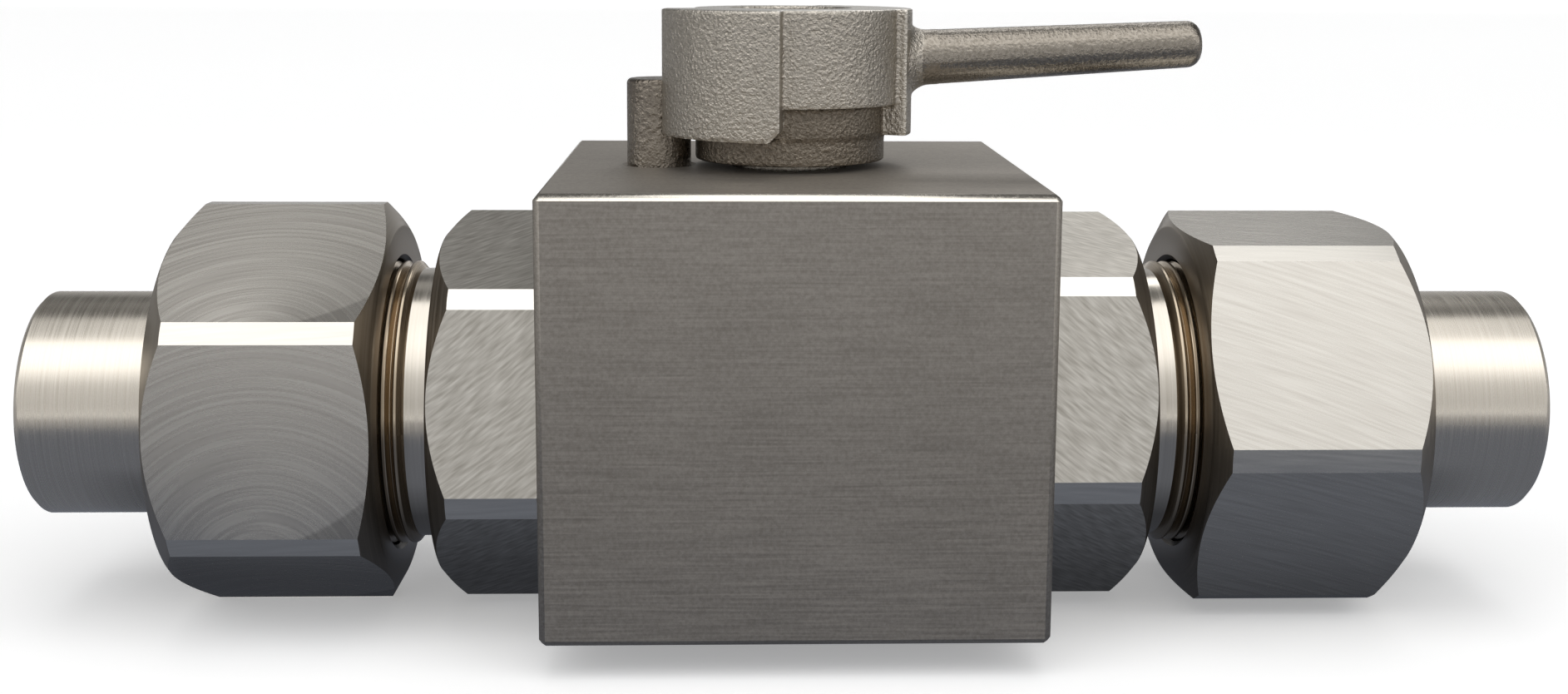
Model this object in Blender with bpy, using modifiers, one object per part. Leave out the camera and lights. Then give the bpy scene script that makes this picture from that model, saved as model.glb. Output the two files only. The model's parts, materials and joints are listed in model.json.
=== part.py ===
"""High-pressure block ball valve with two union-nut weld ends.

Frame: metres, +Z up. The origin is the centre of the block's base face, under the stem.
The pipe runs along X, the operating lever points along +X when the valve is open, and
the front of the valve faces -Y.
"""

import math

import bmesh
import bpy
from mathutils import Matrix

MM = 0.001

# Block
BLOCK_LENGTH = 58.4 * MM
BLOCK_DEPTH = 62.0 * MM
AXIS_HEIGHT = 21.3 * MM          # pipe axis above the base face
AXIS_TO_TOP = 30.5 * MM          # block top above the pipe axis
EDGE_BREAK = 0.6 * MM

# Fits
CLEARANCE = 0.3 * MM             # running gap between neighbouring pieces
SEAL_CLEARANCE = 0.2 * MM        # gap round a seal in its groove

# Flow passage and ball
BORE_RADIUS = 10.0 * MM
BALL_RADIUS = 16.0 * MM
CAVITY_ROOM = 1.2 * MM           # cavity wall beyond the ball
SLOT_DEPTH = 4.2 * MM            # stem slot, below the top of the ball

# Ball seats
SEAT_LIP = 4.0 * MM              # radial width of the sealing face
SEAT_BACK = 16.0 * MM            # back of the seat, from the stem axis
SEAT_SEAL_SECTION = 0.75 * MM    # radius of the round section

# Stem
STEM_RADIUS = 7.0 * MM
FLANGE_WIDTH = 2.0 * MM          # flange beyond the stem, inside the block
FLANGE_THICKNESS = 3.4 * MM
FLANGE_LIFT = 0.6 * MM           # flange above the ball
TANG_THICKNESS = 8.0 * MM
TANG_INSET = 1.7 * MM            # tang end inside the flange's rim, clear of the seats when turned
THRUST_WASHER_THICKNESS = 1.1 * MM
STEM_SEAL_SECTION = 0.75 * MM
STEM_GROOVE_LAND = 1.1 * MM      # metal left between two seal grooves
BACKUP_THICKNESS = 0.9 * MM
SQUARE_ACROSS_FLATS = 10.0 * MM
STEM_END_RADIUS = 4.9 * MM

# Screwed-in end adapters
HEX_LENGTH = 13.6 * MM
ADAPTER_ACROSS_FLATS = 43.6 * MM
ADAPTER_ACROSS_CORNER_FLATS = 48.7 * MM
ADAPTER_CHAMFER_SLOPE = 0.90     # length over radius
ADAPTER_FOOT_CHAMFER = 0.7 * MM
NECK_LENGTH = 3.4 * MM
NECK_RADIUS = 17.0 * MM
THREAD_RADIUS = 17.9 * MM
THREAD_LENGTH = 17.0 * MM
THREAD_CHAMFER = 1.2 * MM
PLUG_INNER_END = 11.3 * MM       # inner end of the adapter, from the stem axis
PLUG_SEAL_SECTION = 1.0 * MM
PLUG_SEAL_DEPTH = 4.0 * MM       # groove centre below the block's end face
CONE_SLOPE = math.tan(math.radians(12.0))
CONE_MOUTH_RADIUS = 15.0 * MM
CONE_DEPTH = 7.5 * MM
LEFT_ADAPTER_TILT = math.radians(12.5)
RIGHT_ADAPTER_TILT = math.radians(16.8)

# Union nuts
NUT_ACROSS_FLATS = 45.4 * MM
NUT_ACROSS_CORNER_FLATS = 50.8 * MM
NUT_INNER_FACE = 49.1 * MM       # face next to the adapter, from the stem axis
NUT_LENGTH = 26.6 * MM
NUT_FACE_INSET = 0.2 * MM        # end face circle inside the flats
NUT_INNER_CHAMFER_SLOPE = 0.60
NUT_OUTER_CHAMFER_SLOPE = 0.93
LEFT_NUT_TILT = math.radians(1.2)
RIGHT_NUT_TILT = math.radians(27.0)

# Weld nipples
NIPPLE_RADIUS = 14.0 * MM
NIPPLE_END = 93.4 * MM           # weld end, from the stem axis
NIPPLE_END_CHAMFER = 0.6 * MM
COLLAR_RADIUS = 16.6 * MM
COLLAR_LENGTH = 3.0 * MM
COLLAR_GAP = 1.0 * MM            # collar off the adapter's end
NIPPLE_SEAL_SECTION = 0.9 * MM
NIPPLE_SEAL_PLACE = 3.9 * MM     # groove centre from the nipple's nose

# Hub of the lever, heights above the block's top
HUB_LIFT = 0.8 * MM
HUB_TOP = 19.6 * MM
HUB_RADIUS = 12.1 * MM
STOP_SECTOR_RADIUS = 16.5 * MM
LEVER_PAD_RADIUS = 15.2 * MM
SECTOR_BOTTOM = 4.1 * MM
FRONT_BAND_RADIUS = 13.9 * MM
FRONT_BAND_BOTTOM = 7.9 * MM
SECTOR_ROUND = 0.45 * MM
HUB_ROUND = 0.5 * MM
RECESS_RADIUS = 7.4 * MM
RECESS_DEPTH = 4.2 * MM
LEVER_PAD_END = math.radians(-22.0)
STOP_SECTOR_END = math.radians(-96.0)

# Stop pin
PIN_RADIUS = 4.0 * MM
PIN_HEIGHT = 10.8 * MM           # above the block's top
PIN_DEPTH = 7.7 * MM             # below the block's top
PIN_CHAMFER = 0.6 * MM
TRAVEL = math.radians(90.0)

# Lever arm, cast in one with the hub
LEVER_RISE = math.radians(3.05)
LEVER_START_HEIGHT = 12.6 * MM   # lever axis above the block's top, at the stem axis
LEVER_LENGTH = 51.6 * MM
LEVER_ROOT_RADIUS = 3.45 * MM
LEVER_TIP_RADIUS = 2.93 * MM
LEVER_FLARE_RADIUS = 4.7 * MM
LEVER_FLARE_LENGTH = 2.4 * MM
LEVER_END_ROUND = 1.7 * MM

# Washer and retaining ring in the hub's recess
WASHER_THICKNESS = 1.0 * MM
RING_THICKNESS = 1.0 * MM
RING_GROOVE_DEPTH = 0.6 * MM
RING_WIDTH = 1.9 * MM
RING_GAP = math.radians(28.0)

# Facets round a turned piece
LARGE_STEPS = 36
SMALL_STEPS = 28
SEAL_STEPS = 20
SEAL_SIDES = 6
MERGE = 0.00002

BLOCK_HEIGHT = AXIS_HEIGHT + AXIS_TO_TOP
BODY_BORE_RADIUS = BALL_RADIUS + CAVITY_ROOM
PLUG_RADIUS = BODY_BORE_RADIUS - CLEARANCE
SEAT_OUTER_RADIUS = BORE_RADIUS + CLEARANCE + SEAT_LIP
SEAT_POCKET_RADIUS = SEAT_OUTER_RADIUS + CLEARANCE
SEAT_POCKET_END = SEAT_BACK + CLEARANCE
FLANGE_RADIUS = STEM_RADIUS + FLANGE_WIDTH
FLANGE_BOTTOM = BALL_RADIUS + FLANGE_LIFT
FLANGE_TOP = FLANGE_BOTTOM + FLANGE_THICKNESS
POCKET_RADIUS = FLANGE_RADIUS + CLEARANCE
POCKET_TOP = FLANGE_TOP + THRUST_WASHER_THICKNESS + 2.0 * CLEARANCE
STEM_BORE_RADIUS = STEM_RADIUS + CLEARANCE
HEX_FOOT = BLOCK_LENGTH / 2.0 + CLEARANCE
HEX_END = HEX_FOOT + HEX_LENGTH
THREAD_START = HEX_END + NECK_LENGTH
THREAD_END = THREAD_START + THREAD_LENGTH
CONE_BOTTOM = THREAD_END - CONE_DEPTH
NUT_BORE_RADIUS = THREAD_RADIUS + CLEARANCE
PIN_HOLE_RADIUS = PIN_RADIUS + CLEARANCE
PIN_PLACE = HUB_RADIUS + CLEARANCE + PIN_RADIUS
HUB_FLOOR = HUB_TOP - RECESS_DEPTH
SQUARE_HOLE = SQUARE_ACROSS_FLATS + 2.0 * CLEARANCE


def start_scene():
    """Empty the scene and return the collections for the valve and for its cutters."""
    for old in list(bpy.data.objects):
        bpy.data.objects.remove(old, do_unlink=True)
    groups = []
    for name in ("ball_valve", "cutters"):
        group = bpy.data.collections.new(name)
        bpy.context.scene.collection.children.link(group)
        groups.append(group)
    return groups


VALVE, CUTTERS = start_scene()


def finish(name, hex_colour, roughness, metallic):
    """Return a Principled material of one sRGB colour."""
    channels = [int(hex_colour[i:i + 2], 16) / 255.0 for i in (1, 3, 5)]
    linear = [c / 12.92 if c <= 0.04045 else ((c + 0.055) / 1.055) ** 2.4 for c in channels]
    material = bpy.data.materials.new(name)
    material.use_nodes = True
    shader = material.node_tree.nodes["Principled BSDF"]
    shader.inputs["Base Color"].default_value = (*linear, 1.0)
    shader.inputs["Roughness"].default_value = roughness
    shader.inputs["Metallic"].default_value = metallic
    return material


def own_finish(name, kind):
    """Return a material of the given kind, of the piece's own."""
    kinds = {
        "pickled": ("#7c7873", 0.45, 1.0),
        "milled": ("#a9a6a1", 0.32, 1.0),
        "turned": ("#b4b0a9", 0.22, 1.0),
        "cast": ("#8e8a82", 0.50, 1.0),
        "ball": ("#cfcdc9", 0.08, 1.0),
        "plastic": ("#e6e2d6", 0.45, 0.0),
        "rubber": ("#1c1c1d", 0.60, 0.0),
        "spring": ("#5a5855", 0.35, 1.0),
    }
    return finish(name + "_finish", *kinds[kind])


def empty_at(name, height):
    """Return an empty on the stem axis, for the pieces that are placed from that height."""
    marker = bpy.data.objects.new(name, None)
    marker.location = (0.0, 0.0, height)
    VALVE.objects.link(marker)
    return marker


PIPE_AXIS = empty_at("pipe_axis", AXIS_HEIGHT)
BLOCK_TOP = empty_at("block_top", BLOCK_HEIGHT)


def piece(name, mesh, kind, parent):
    """Link a mesh as one named sub-part, dressed and parented."""
    made = bpy.data.objects.new(name, mesh)
    VALVE.objects.link(made)
    made.parent = parent
    mesh.materials.append(own_finish(name, kind))
    return made


def cutter(name, mesh, parent):
    """Link a mesh as a hidden tool for Boolean modifiers."""
    made = bpy.data.objects.new(name, mesh)
    CUTTERS.objects.link(made)
    made.parent = parent
    made.hide_render = True
    made.display_type = "WIRE"
    return made


def boolean(made, tool, operation):
    """Join, cut or trim a piece with a tool."""
    modifier = made.modifiers.new(tool.name, "BOOLEAN")
    modifier.operation = operation
    modifier.solver = "EXACT"
    modifier.object = tool


def profile_mesh(name, points, closed):
    """Return the half section of a turned piece: (along, radius) points, outer side first."""
    mesh = bpy.data.meshes.new(name)
    shell = bmesh.new()
    corners = [shell.verts.new((radius, 0.0, along)) for along, radius in reversed(points)]
    for first, second in zip(corners, corners[1:]):
        shell.edges.new((first, second))
    if closed:
        shell.edges.new((corners[-1], corners[0]))
    shell.to_mesh(mesh)
    shell.free()
    return mesh


def turn(made, steps):
    """Turn a half section about its local Z axis."""
    modifier = made.modifiers.new("turn", "SCREW")
    modifier.axis = "Z"
    modifier.angle = 2.0 * math.pi
    modifier.steps = steps
    modifier.render_steps = steps
    modifier.use_merge_vertices = True
    modifier.merge_threshold = MERGE
    modifier.use_smooth_shade = True


def along_pipe(made, side):
    """Turn local Z to point along the pipe, away from the stem: side is 1 right, -1 left."""
    made.rotation_euler = (0.0, side * math.pi / 2.0, 0.0)


def box_mesh(name, low, high):
    """Return a box between two corners."""
    mesh = bpy.data.meshes.new(name)
    shell = bmesh.new()
    size = [b - a for a, b in zip(low, high)]
    middle = [(a + b) / 2.0 for a, b in zip(low, high)]
    place = Matrix.Translation(middle) @ Matrix.Diagonal((*size, 1.0))
    bmesh.ops.create_cube(shell, size=1.0, matrix=place)
    shell.to_mesh(mesh)
    shell.free()
    return mesh


def rod_mesh(name, radius, low, high, steps, turned_by=Matrix.Identity(4)):
    """Return a cylinder or prism between two heights on Z, then turned by a matrix."""
    mesh = bpy.data.meshes.new(name)
    shell = bmesh.new()
    lift = Matrix.Translation((0.0, 0.0, (low + high) / 2.0))
    bmesh.ops.create_cone(shell, cap_ends=True, segments=steps, radius1=radius, radius2=radius,
                          depth=high - low, matrix=turned_by @ lift)
    shell.to_mesh(mesh)
    shell.free()
    return mesh


def hexagon_bar(name, across_flats, tilt):
    """Return a hexagon bar along X; one flat faces the front, tilted up by the given angle."""
    radius = across_flats / 2.0 / math.cos(math.pi / 6.0)
    turned_by = Matrix.Rotation(math.pi / 6.0 - tilt, 4, "X") @ Matrix.Rotation(math.pi / 2.0, 4, "Y")
    mesh = rod_mesh(name, radius, -NIPPLE_END, NIPPLE_END, 6, turned_by)
    return cutter(name, mesh, PIPE_AXIS)


def mill_hexagon(made, across_flats, across_corner_flats, tilt):
    """Mill six flats and six narrow corner flats on a turned blank."""
    flats = hexagon_bar(made.name + "_flats", across_flats, tilt)
    corners = hexagon_bar(made.name + "_corner_flats", across_corner_flats, tilt + math.pi / 6.0)
    boolean(made, flats, "INTERSECT")
    boolean(made, corners, "INTERSECT")


def arc(centre_along, centre_radius, radius, start, end, count):
    """Return count + 1 (along, radius) points on an arc; angle 0 points along the axis."""
    angles = [start + (end - start) * i / count for i in range(count + 1)]
    return [(centre_along + radius * math.cos(a), centre_radius + radius * math.sin(a)) for a in angles]


def seal_ring(name, centre_radius, section, parent, along, side=None):
    """Make an O-ring: on the pipe axis if a side is given, and on the stem axis otherwise."""
    points = arc(0.0, centre_radius, section, math.pi, -math.pi, SEAL_SIDES)[:-1]
    mesh = profile_mesh(name, [(along + a, r) for a, r in points], True)
    ring = piece(name, mesh, "rubber", parent)
    turn(ring, SEAL_STEPS)
    if side is not None:
        along_pipe(ring, side)
    return ring


def make_block():
    """Make the square block: cross bore, stem pocket and bore, and the stop pin's hole."""
    half_length, half_depth = BLOCK_LENGTH / 2.0, BLOCK_DEPTH / 2.0
    mesh = box_mesh("valve_body", (-half_length, -half_depth, 0.0), (half_length, half_depth, BLOCK_HEIGHT))
    block = piece("valve_body", mesh, "pickled", None)
    bevel = block.modifiers.new("edge_break", "BEVEL")
    bevel.width = EDGE_BREAK
    bevel.segments = 2

    lie_down = Matrix.Rotation(math.pi / 2.0, 4, "Y")
    reach = BLOCK_LENGTH
    cross = rod_mesh("cross_bore", BODY_BORE_RADIUS, -reach, reach, LARGE_STEPS, lie_down)
    pocket = rod_mesh("stem_pocket", POCKET_RADIUS, 0.0, POCKET_TOP, SMALL_STEPS)
    bore = rod_mesh("stem_bore", STEM_BORE_RADIUS, 0.0, AXIS_TO_TOP + reach, SMALL_STEPS)
    for mesh in (cross, pocket, bore):
        boolean(block, cutter(mesh.name, mesh, PIPE_AXIS), "DIFFERENCE")
    floor = -PIN_DEPTH - CLEARANCE
    hole = cutter("pin_hole", rod_mesh("pin_hole", PIN_HOLE_RADIUS, floor, -floor, SMALL_STEPS), BLOCK_TOP)
    hole.location.x = -PIN_PLACE
    boolean(block, hole, "DIFFERENCE")


def make_adapter(side, side_name, tilt):
    """Make one screwed-in end adapter, its plug seal and its hexagon."""
    groove = BLOCK_LENGTH / 2.0 - PLUG_SEAL_DEPTH
    groove_half = PLUG_SEAL_SECTION + SEAL_CLEARANCE
    groove_radius = BODY_BORE_RADIUS - 2.0 * (PLUG_SEAL_SECTION + SEAL_CLEARANCE)
    blank = ADAPTER_ACROSS_CORNER_FLATS / 2.0 + CLEARANCE
    flat = ADAPTER_ACROSS_FLATS / 2.0 - NUT_FACE_INSET
    chamfer = (blank - flat) * ADAPTER_CHAMFER_SLOPE
    cone_bottom_radius = CONE_MOUTH_RADIUS - CONE_DEPTH * CONE_SLOPE
    outer = [
        (PLUG_INNER_END, PLUG_RADIUS),
        (groove - groove_half, PLUG_RADIUS), (groove - groove_half, groove_radius),
        (groove + groove_half, groove_radius), (groove + groove_half, PLUG_RADIUS),
        (HEX_FOOT, PLUG_RADIUS), (HEX_FOOT, blank - ADAPTER_FOOT_CHAMFER),
        (HEX_FOOT + ADAPTER_FOOT_CHAMFER, blank),
        (HEX_END - chamfer, blank), (HEX_END, flat),
        (HEX_END, NECK_RADIUS), (THREAD_START, NECK_RADIUS), (THREAD_START, THREAD_RADIUS),
        (THREAD_END - THREAD_CHAMFER, THREAD_RADIUS), (THREAD_END, THREAD_RADIUS - THREAD_CHAMFER),
    ]
    inner = [
        (THREAD_END, CONE_MOUTH_RADIUS), (CONE_BOTTOM, cone_bottom_radius), (CONE_BOTTOM, BORE_RADIUS),
        (SEAT_POCKET_END, BORE_RADIUS), (SEAT_POCKET_END, SEAT_POCKET_RADIUS),
        (PLUG_INNER_END, SEAT_POCKET_RADIUS),
    ]
    name = "end_adapter_" + side_name
    adapter = piece(name, profile_mesh(name, outer + inner, True), "milled", PIPE_AXIS)
    turn(adapter, LARGE_STEPS)
    along_pipe(adapter, side)
    mill_hexagon(adapter, ADAPTER_ACROSS_FLATS, ADAPTER_ACROSS_CORNER_FLATS, tilt)

    ring_radius = groove_radius + SEAL_CLEARANCE + PLUG_SEAL_SECTION
    seal_ring("adapter_oring_" + side_name, ring_radius, PLUG_SEAL_SECTION, PIPE_AXIS, groove, side)


def make_seat(side, side_name):
    """Make one plastic ball seat and the O-ring behind it."""
    hole = BORE_RADIUS + CLEARANCE
    face = BALL_RADIUS + CLEARANCE
    step = 2.0 * (SEAT_SEAL_SECTION + SEAL_CLEARANCE)
    dish = arc(0.0, 0.0, face, math.asin(hole / face), math.asin(SEAT_OUTER_RADIUS / face), 4)
    points = [
        (SEAT_BACK - step, SEAT_OUTER_RADIUS), (SEAT_BACK - step, SEAT_POCKET_RADIUS - step),
        (SEAT_BACK, SEAT_POCKET_RADIUS - step), (SEAT_BACK, hole),
    ]
    name = "ball_seat_" + side_name
    seat = piece(name, profile_mesh(name, points + dish, True), "plastic", PIPE_AXIS)
    turn(seat, LARGE_STEPS)
    along_pipe(seat, side)

    ring_radius = SEAT_POCKET_RADIUS - SEAL_CLEARANCE - SEAT_SEAL_SECTION
    ring_place = SEAT_POCKET_END - SEAL_CLEARANCE - SEAT_SEAL_SECTION
    seal_ring("seat_oring_" + side_name, ring_radius, SEAT_SEAL_SECTION, PIPE_AXIS, ring_place, side)


def make_nipple(side, side_name):
    """Make one weld nipple: coned nose, collar and pipe end, with the O-ring on its cone."""
    nose = CONE_BOTTOM + CLEARANCE
    nose_radius = CONE_MOUTH_RADIUS - (THREAD_END - nose) * CONE_SLOPE - CLEARANCE
    collar_start = THREAD_END + COLLAR_GAP
    collar_end = collar_start + COLLAR_LENGTH
    pipe_start = collar_end + COLLAR_RADIUS - NIPPLE_RADIUS
    groove = nose + NIPPLE_SEAL_PLACE
    groove_half = NIPPLE_SEAL_SECTION + SEAL_CLEARANCE

    def cone_radius(along):
        return nose_radius + (along - nose) * CONE_SLOPE

    groove_radius = cone_radius(groove) + CLEARANCE - 2.0 * groove_half
    outer = [
        (nose, nose_radius),
        (groove - groove_half, cone_radius(groove - groove_half)), (groove - groove_half, groove_radius),
        (groove + groove_half, groove_radius), (groove + groove_half, cone_radius(groove + groove_half)),
        (collar_start, cone_radius(collar_start)), (collar_start, COLLAR_RADIUS),
        (collar_end, COLLAR_RADIUS), (pipe_start, NIPPLE_RADIUS),
        (NIPPLE_END - NIPPLE_END_CHAMFER, NIPPLE_RADIUS), (NIPPLE_END, NIPPLE_RADIUS - NIPPLE_END_CHAMFER),
    ]
    inner = [(NIPPLE_END, BORE_RADIUS), (nose, BORE_RADIUS)]
    name = "weld_nipple_" + side_name
    nipple = piece(name, profile_mesh(name, outer + inner, True), "turned", PIPE_AXIS)
    turn(nipple, LARGE_STEPS)
    along_pipe(nipple, side)
    ring_radius = groove_radius + groove_half
    seal_ring("nipple_oring_" + side_name, ring_radius, NIPPLE_SEAL_SECTION, PIPE_AXIS, groove, side)
    return collar_end


def make_union_nut(side, side_name, tilt, collar_end):
    """Make one union nut, whose shoulder pulls the nipple's collar on to the adapter."""
    blank = NUT_ACROSS_CORNER_FLATS / 2.0 + CLEARANCE
    flat = NUT_ACROSS_FLATS / 2.0 - NUT_FACE_INSET
    outer_face = NUT_INNER_FACE + NUT_LENGTH
    hole = NIPPLE_RADIUS + CLEARANCE
    shoulder = collar_end + math.sqrt(2.0) * CLEARANCE + COLLAR_RADIUS
    points = [
        (NUT_INNER_FACE, flat), (NUT_INNER_FACE + (blank - flat) * NUT_INNER_CHAMFER_SLOPE, blank),
        (outer_face - (blank - flat) * NUT_OUTER_CHAMFER_SLOPE, blank), (outer_face, flat),
        (outer_face, hole), (shoulder - hole, hole),
        (shoulder - NUT_BORE_RADIUS, NUT_BORE_RADIUS), (NUT_INNER_FACE, NUT_BORE_RADIUS),
    ]
    name = "union_nut_" + side_name
    nut = piece(name, profile_mesh(name, points, True), "milled", PIPE_AXIS)
    turn(nut, LARGE_STEPS)
    along_pipe(nut, side)
    mill_hexagon(nut, NUT_ACROSS_FLATS, NUT_ACROSS_CORNER_FLATS, tilt)


def make_ball():
    """Make the ball: sphere turned round its through bore, with the stem's slot on top."""
    mouth = math.asin(BORE_RADIUS / BALL_RADIUS)
    points = arc(0.0, 0.0, BALL_RADIUS, math.pi - mouth, mouth, 12)
    ball = piece("ball", profile_mesh("ball", points, True), "ball", PIPE_AXIS)
    turn(ball, LARGE_STEPS)
    along_pipe(ball, 1)
    half = TANG_THICKNESS / 2.0 + CLEARANCE
    slot = box_mesh("ball_slot", (-half, -2.0 * BALL_RADIUS, BALL_RADIUS - SLOT_DEPTH),
                    (half, 2.0 * BALL_RADIUS, 2.0 * BALL_RADIUS))
    boolean(ball, cutter("ball_slot", slot, PIPE_AXIS), "DIFFERENCE")


def make_stem():
    """Make the blow-out-proof stem, its thrust washer, seals and backup ring."""
    hub_bottom = AXIS_TO_TOP + HUB_LIFT
    recess_floor = AXIS_TO_TOP + HUB_FLOOR
    tang_bottom = BALL_RADIUS - SLOT_DEPTH + CLEARANCE
    tang_radius = FLANGE_RADIUS - TANG_INSET
    groove_radius = STEM_BORE_RADIUS - 2.0 * (STEM_SEAL_SECTION + SEAL_CLEARANCE)
    groove_height = 2.0 * (STEM_SEAL_SECTION + SEAL_CLEARANCE)
    lower = POCKET_TOP + STEM_GROOVE_LAND
    upper = lower + groove_height + STEM_GROOVE_LAND
    upper_end = upper + groove_height + BACKUP_THICKNESS + SEAL_CLEARANCE
    ring_low = recess_floor + WASHER_THICKNESS + 2.0 * CLEARANCE
    groove_low = ring_low - SEAL_CLEARANCE
    groove_high = ring_low + RING_THICKNESS + SEAL_CLEARANCE
    stem_end = AXIS_TO_TOP + HUB_TOP - 2.0 * CLEARANCE
    ring_seat = STEM_END_RADIUS - RING_GROOVE_DEPTH
    points = [
        (tang_bottom, 0.0), (tang_bottom, tang_radius), (FLANGE_BOTTOM, tang_radius),
        (FLANGE_BOTTOM, FLANGE_RADIUS), (FLANGE_TOP, FLANGE_RADIUS), (FLANGE_TOP, STEM_RADIUS),
        (lower, STEM_RADIUS), (lower, groove_radius), (lower + groove_height, groove_radius),
        (lower + groove_height, STEM_RADIUS), (upper, STEM_RADIUS), (upper, groove_radius),
        (upper_end, groove_radius), (upper_end, STEM_RADIUS),
        (recess_floor - CLEARANCE, STEM_RADIUS), (recess_floor - CLEARANCE, STEM_END_RADIUS),
        (groove_low, STEM_END_RADIUS), (groove_low, ring_seat), (groove_high, ring_seat),
        (groove_high, STEM_END_RADIUS), (stem_end, STEM_END_RADIUS), (stem_end, 0.0),
    ]
    stem = piece("stem", profile_mesh("stem", points, False), "turned", PIPE_AXIS)
    turn(stem, SMALL_STEPS)
    far = 2.0 * STEM_RADIUS
    flats = [("tang", 2, TANG_THICKNESS / 2.0, -far, FLANGE_BOTTOM),
             ("square", 4, SQUARE_ACROSS_FLATS / 2.0, hub_bottom - CLEARANCE, stem_end + far)]
    for flat_name, count, half, low, high in flats:
        for index in range(count):
            tool_name = flat_name + "_flat_" + str(index + 1)
            slab = box_mesh(tool_name, (half, -far, low), (half + far, far, high))
            tool = cutter(tool_name, slab, PIPE_AXIS)
            tool.rotation_euler.z = 2.0 * math.pi * index / count
            boolean(stem, tool, "DIFFERENCE")

    seal_radius = groove_radius + SEAL_CLEARANCE + STEM_SEAL_SECTION
    for name, low in (("stem_oring_lower", lower), ("stem_oring_upper", upper)):
        seal_ring(name, seal_radius, STEM_SEAL_SECTION, PIPE_AXIS, low + groove_height / 2.0)
    backup_low = upper + groove_height
    flat_ring("stem_backup_ring", groove_radius + SEAL_CLEARANCE, STEM_BORE_RADIUS - SEAL_CLEARANCE,
              backup_low, backup_low + BACKUP_THICKNESS, "plastic")
    washer_low = FLANGE_TOP + CLEARANCE
    flat_ring("stem_thrust_washer", STEM_RADIUS + SEAL_CLEARANCE, FLANGE_RADIUS,
              washer_low, washer_low + THRUST_WASHER_THICKNESS, "plastic")
    washer_low = recess_floor + CLEARANCE
    flat_ring("handle_washer", STEM_END_RADIUS + SEAL_CLEARANCE, RECESS_RADIUS - CLEARANCE,
              washer_low, washer_low + WASHER_THICKNESS, "spring")
    snap = flat_ring("handle_retaining_ring", ring_seat + SEAL_CLEARANCE, ring_seat + RING_WIDTH,
                     ring_low, ring_low + RING_THICKNESS, "spring")
    half_gap = math.tan(RING_GAP / 2.0) * STEM_RADIUS
    opening = box_mesh("ring_opening", (0.0, -half_gap, ring_low - RING_THICKNESS),
                       (far, half_gap, ring_low + 2.0 * RING_THICKNESS))
    tool = cutter("ring_opening", opening, PIPE_AXIS)
    tool.rotation_euler.z = -math.pi / 2.0
    boolean(snap, tool, "DIFFERENCE")


def flat_ring(name, hole, radius, low, high, kind):
    """Make a flat ring on the stem axis, at heights above the pipe axis."""
    points = [(low, radius), (high, radius), (high, hole), (low, hole)]
    ring = piece(name, profile_mesh(name, points, True), kind, PIPE_AXIS)
    turn(ring, SMALL_STEPS)
    return ring


def hub_sector(name, radius, bottom, start, end):
    """Make the tool for one raised sector of the hub, at heights above the block's top."""
    count = max(3, round(math.degrees(end - start) / 8.0))
    angles = [start + (end - start) * i / count for i in range(count + 1)]
    inner = HUB_RADIUS * 0.75
    outline = [(radius * math.cos(a), radius * math.sin(a)) for a in angles]
    outline += [(inner * math.cos(a), inner * math.sin(a)) for a in reversed(angles)]
    mesh = bpy.data.meshes.new(name)
    shell = bmesh.new()
    face = shell.faces.new([shell.verts.new((x, y, bottom)) for x, y in outline])
    face.normal_flip()
    raised = bmesh.ops.extrude_face_region(shell, geom=[face])
    verts = [item for item in raised["geom"] if isinstance(item, bmesh.types.BMVert)]
    bmesh.ops.translate(shell, verts=verts, vec=(0.0, 0.0, HUB_TOP - bottom))
    bmesh.ops.recalc_face_normals(shell, faces=shell.faces)
    shell.to_mesh(mesh)
    shell.free()
    sector = cutter(name, mesh, BLOCK_TOP)
    bevel = sector.modifiers.new("round", "BEVEL")
    bevel.width = SECTOR_ROUND
    bevel.segments = 2
    return sector


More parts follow.
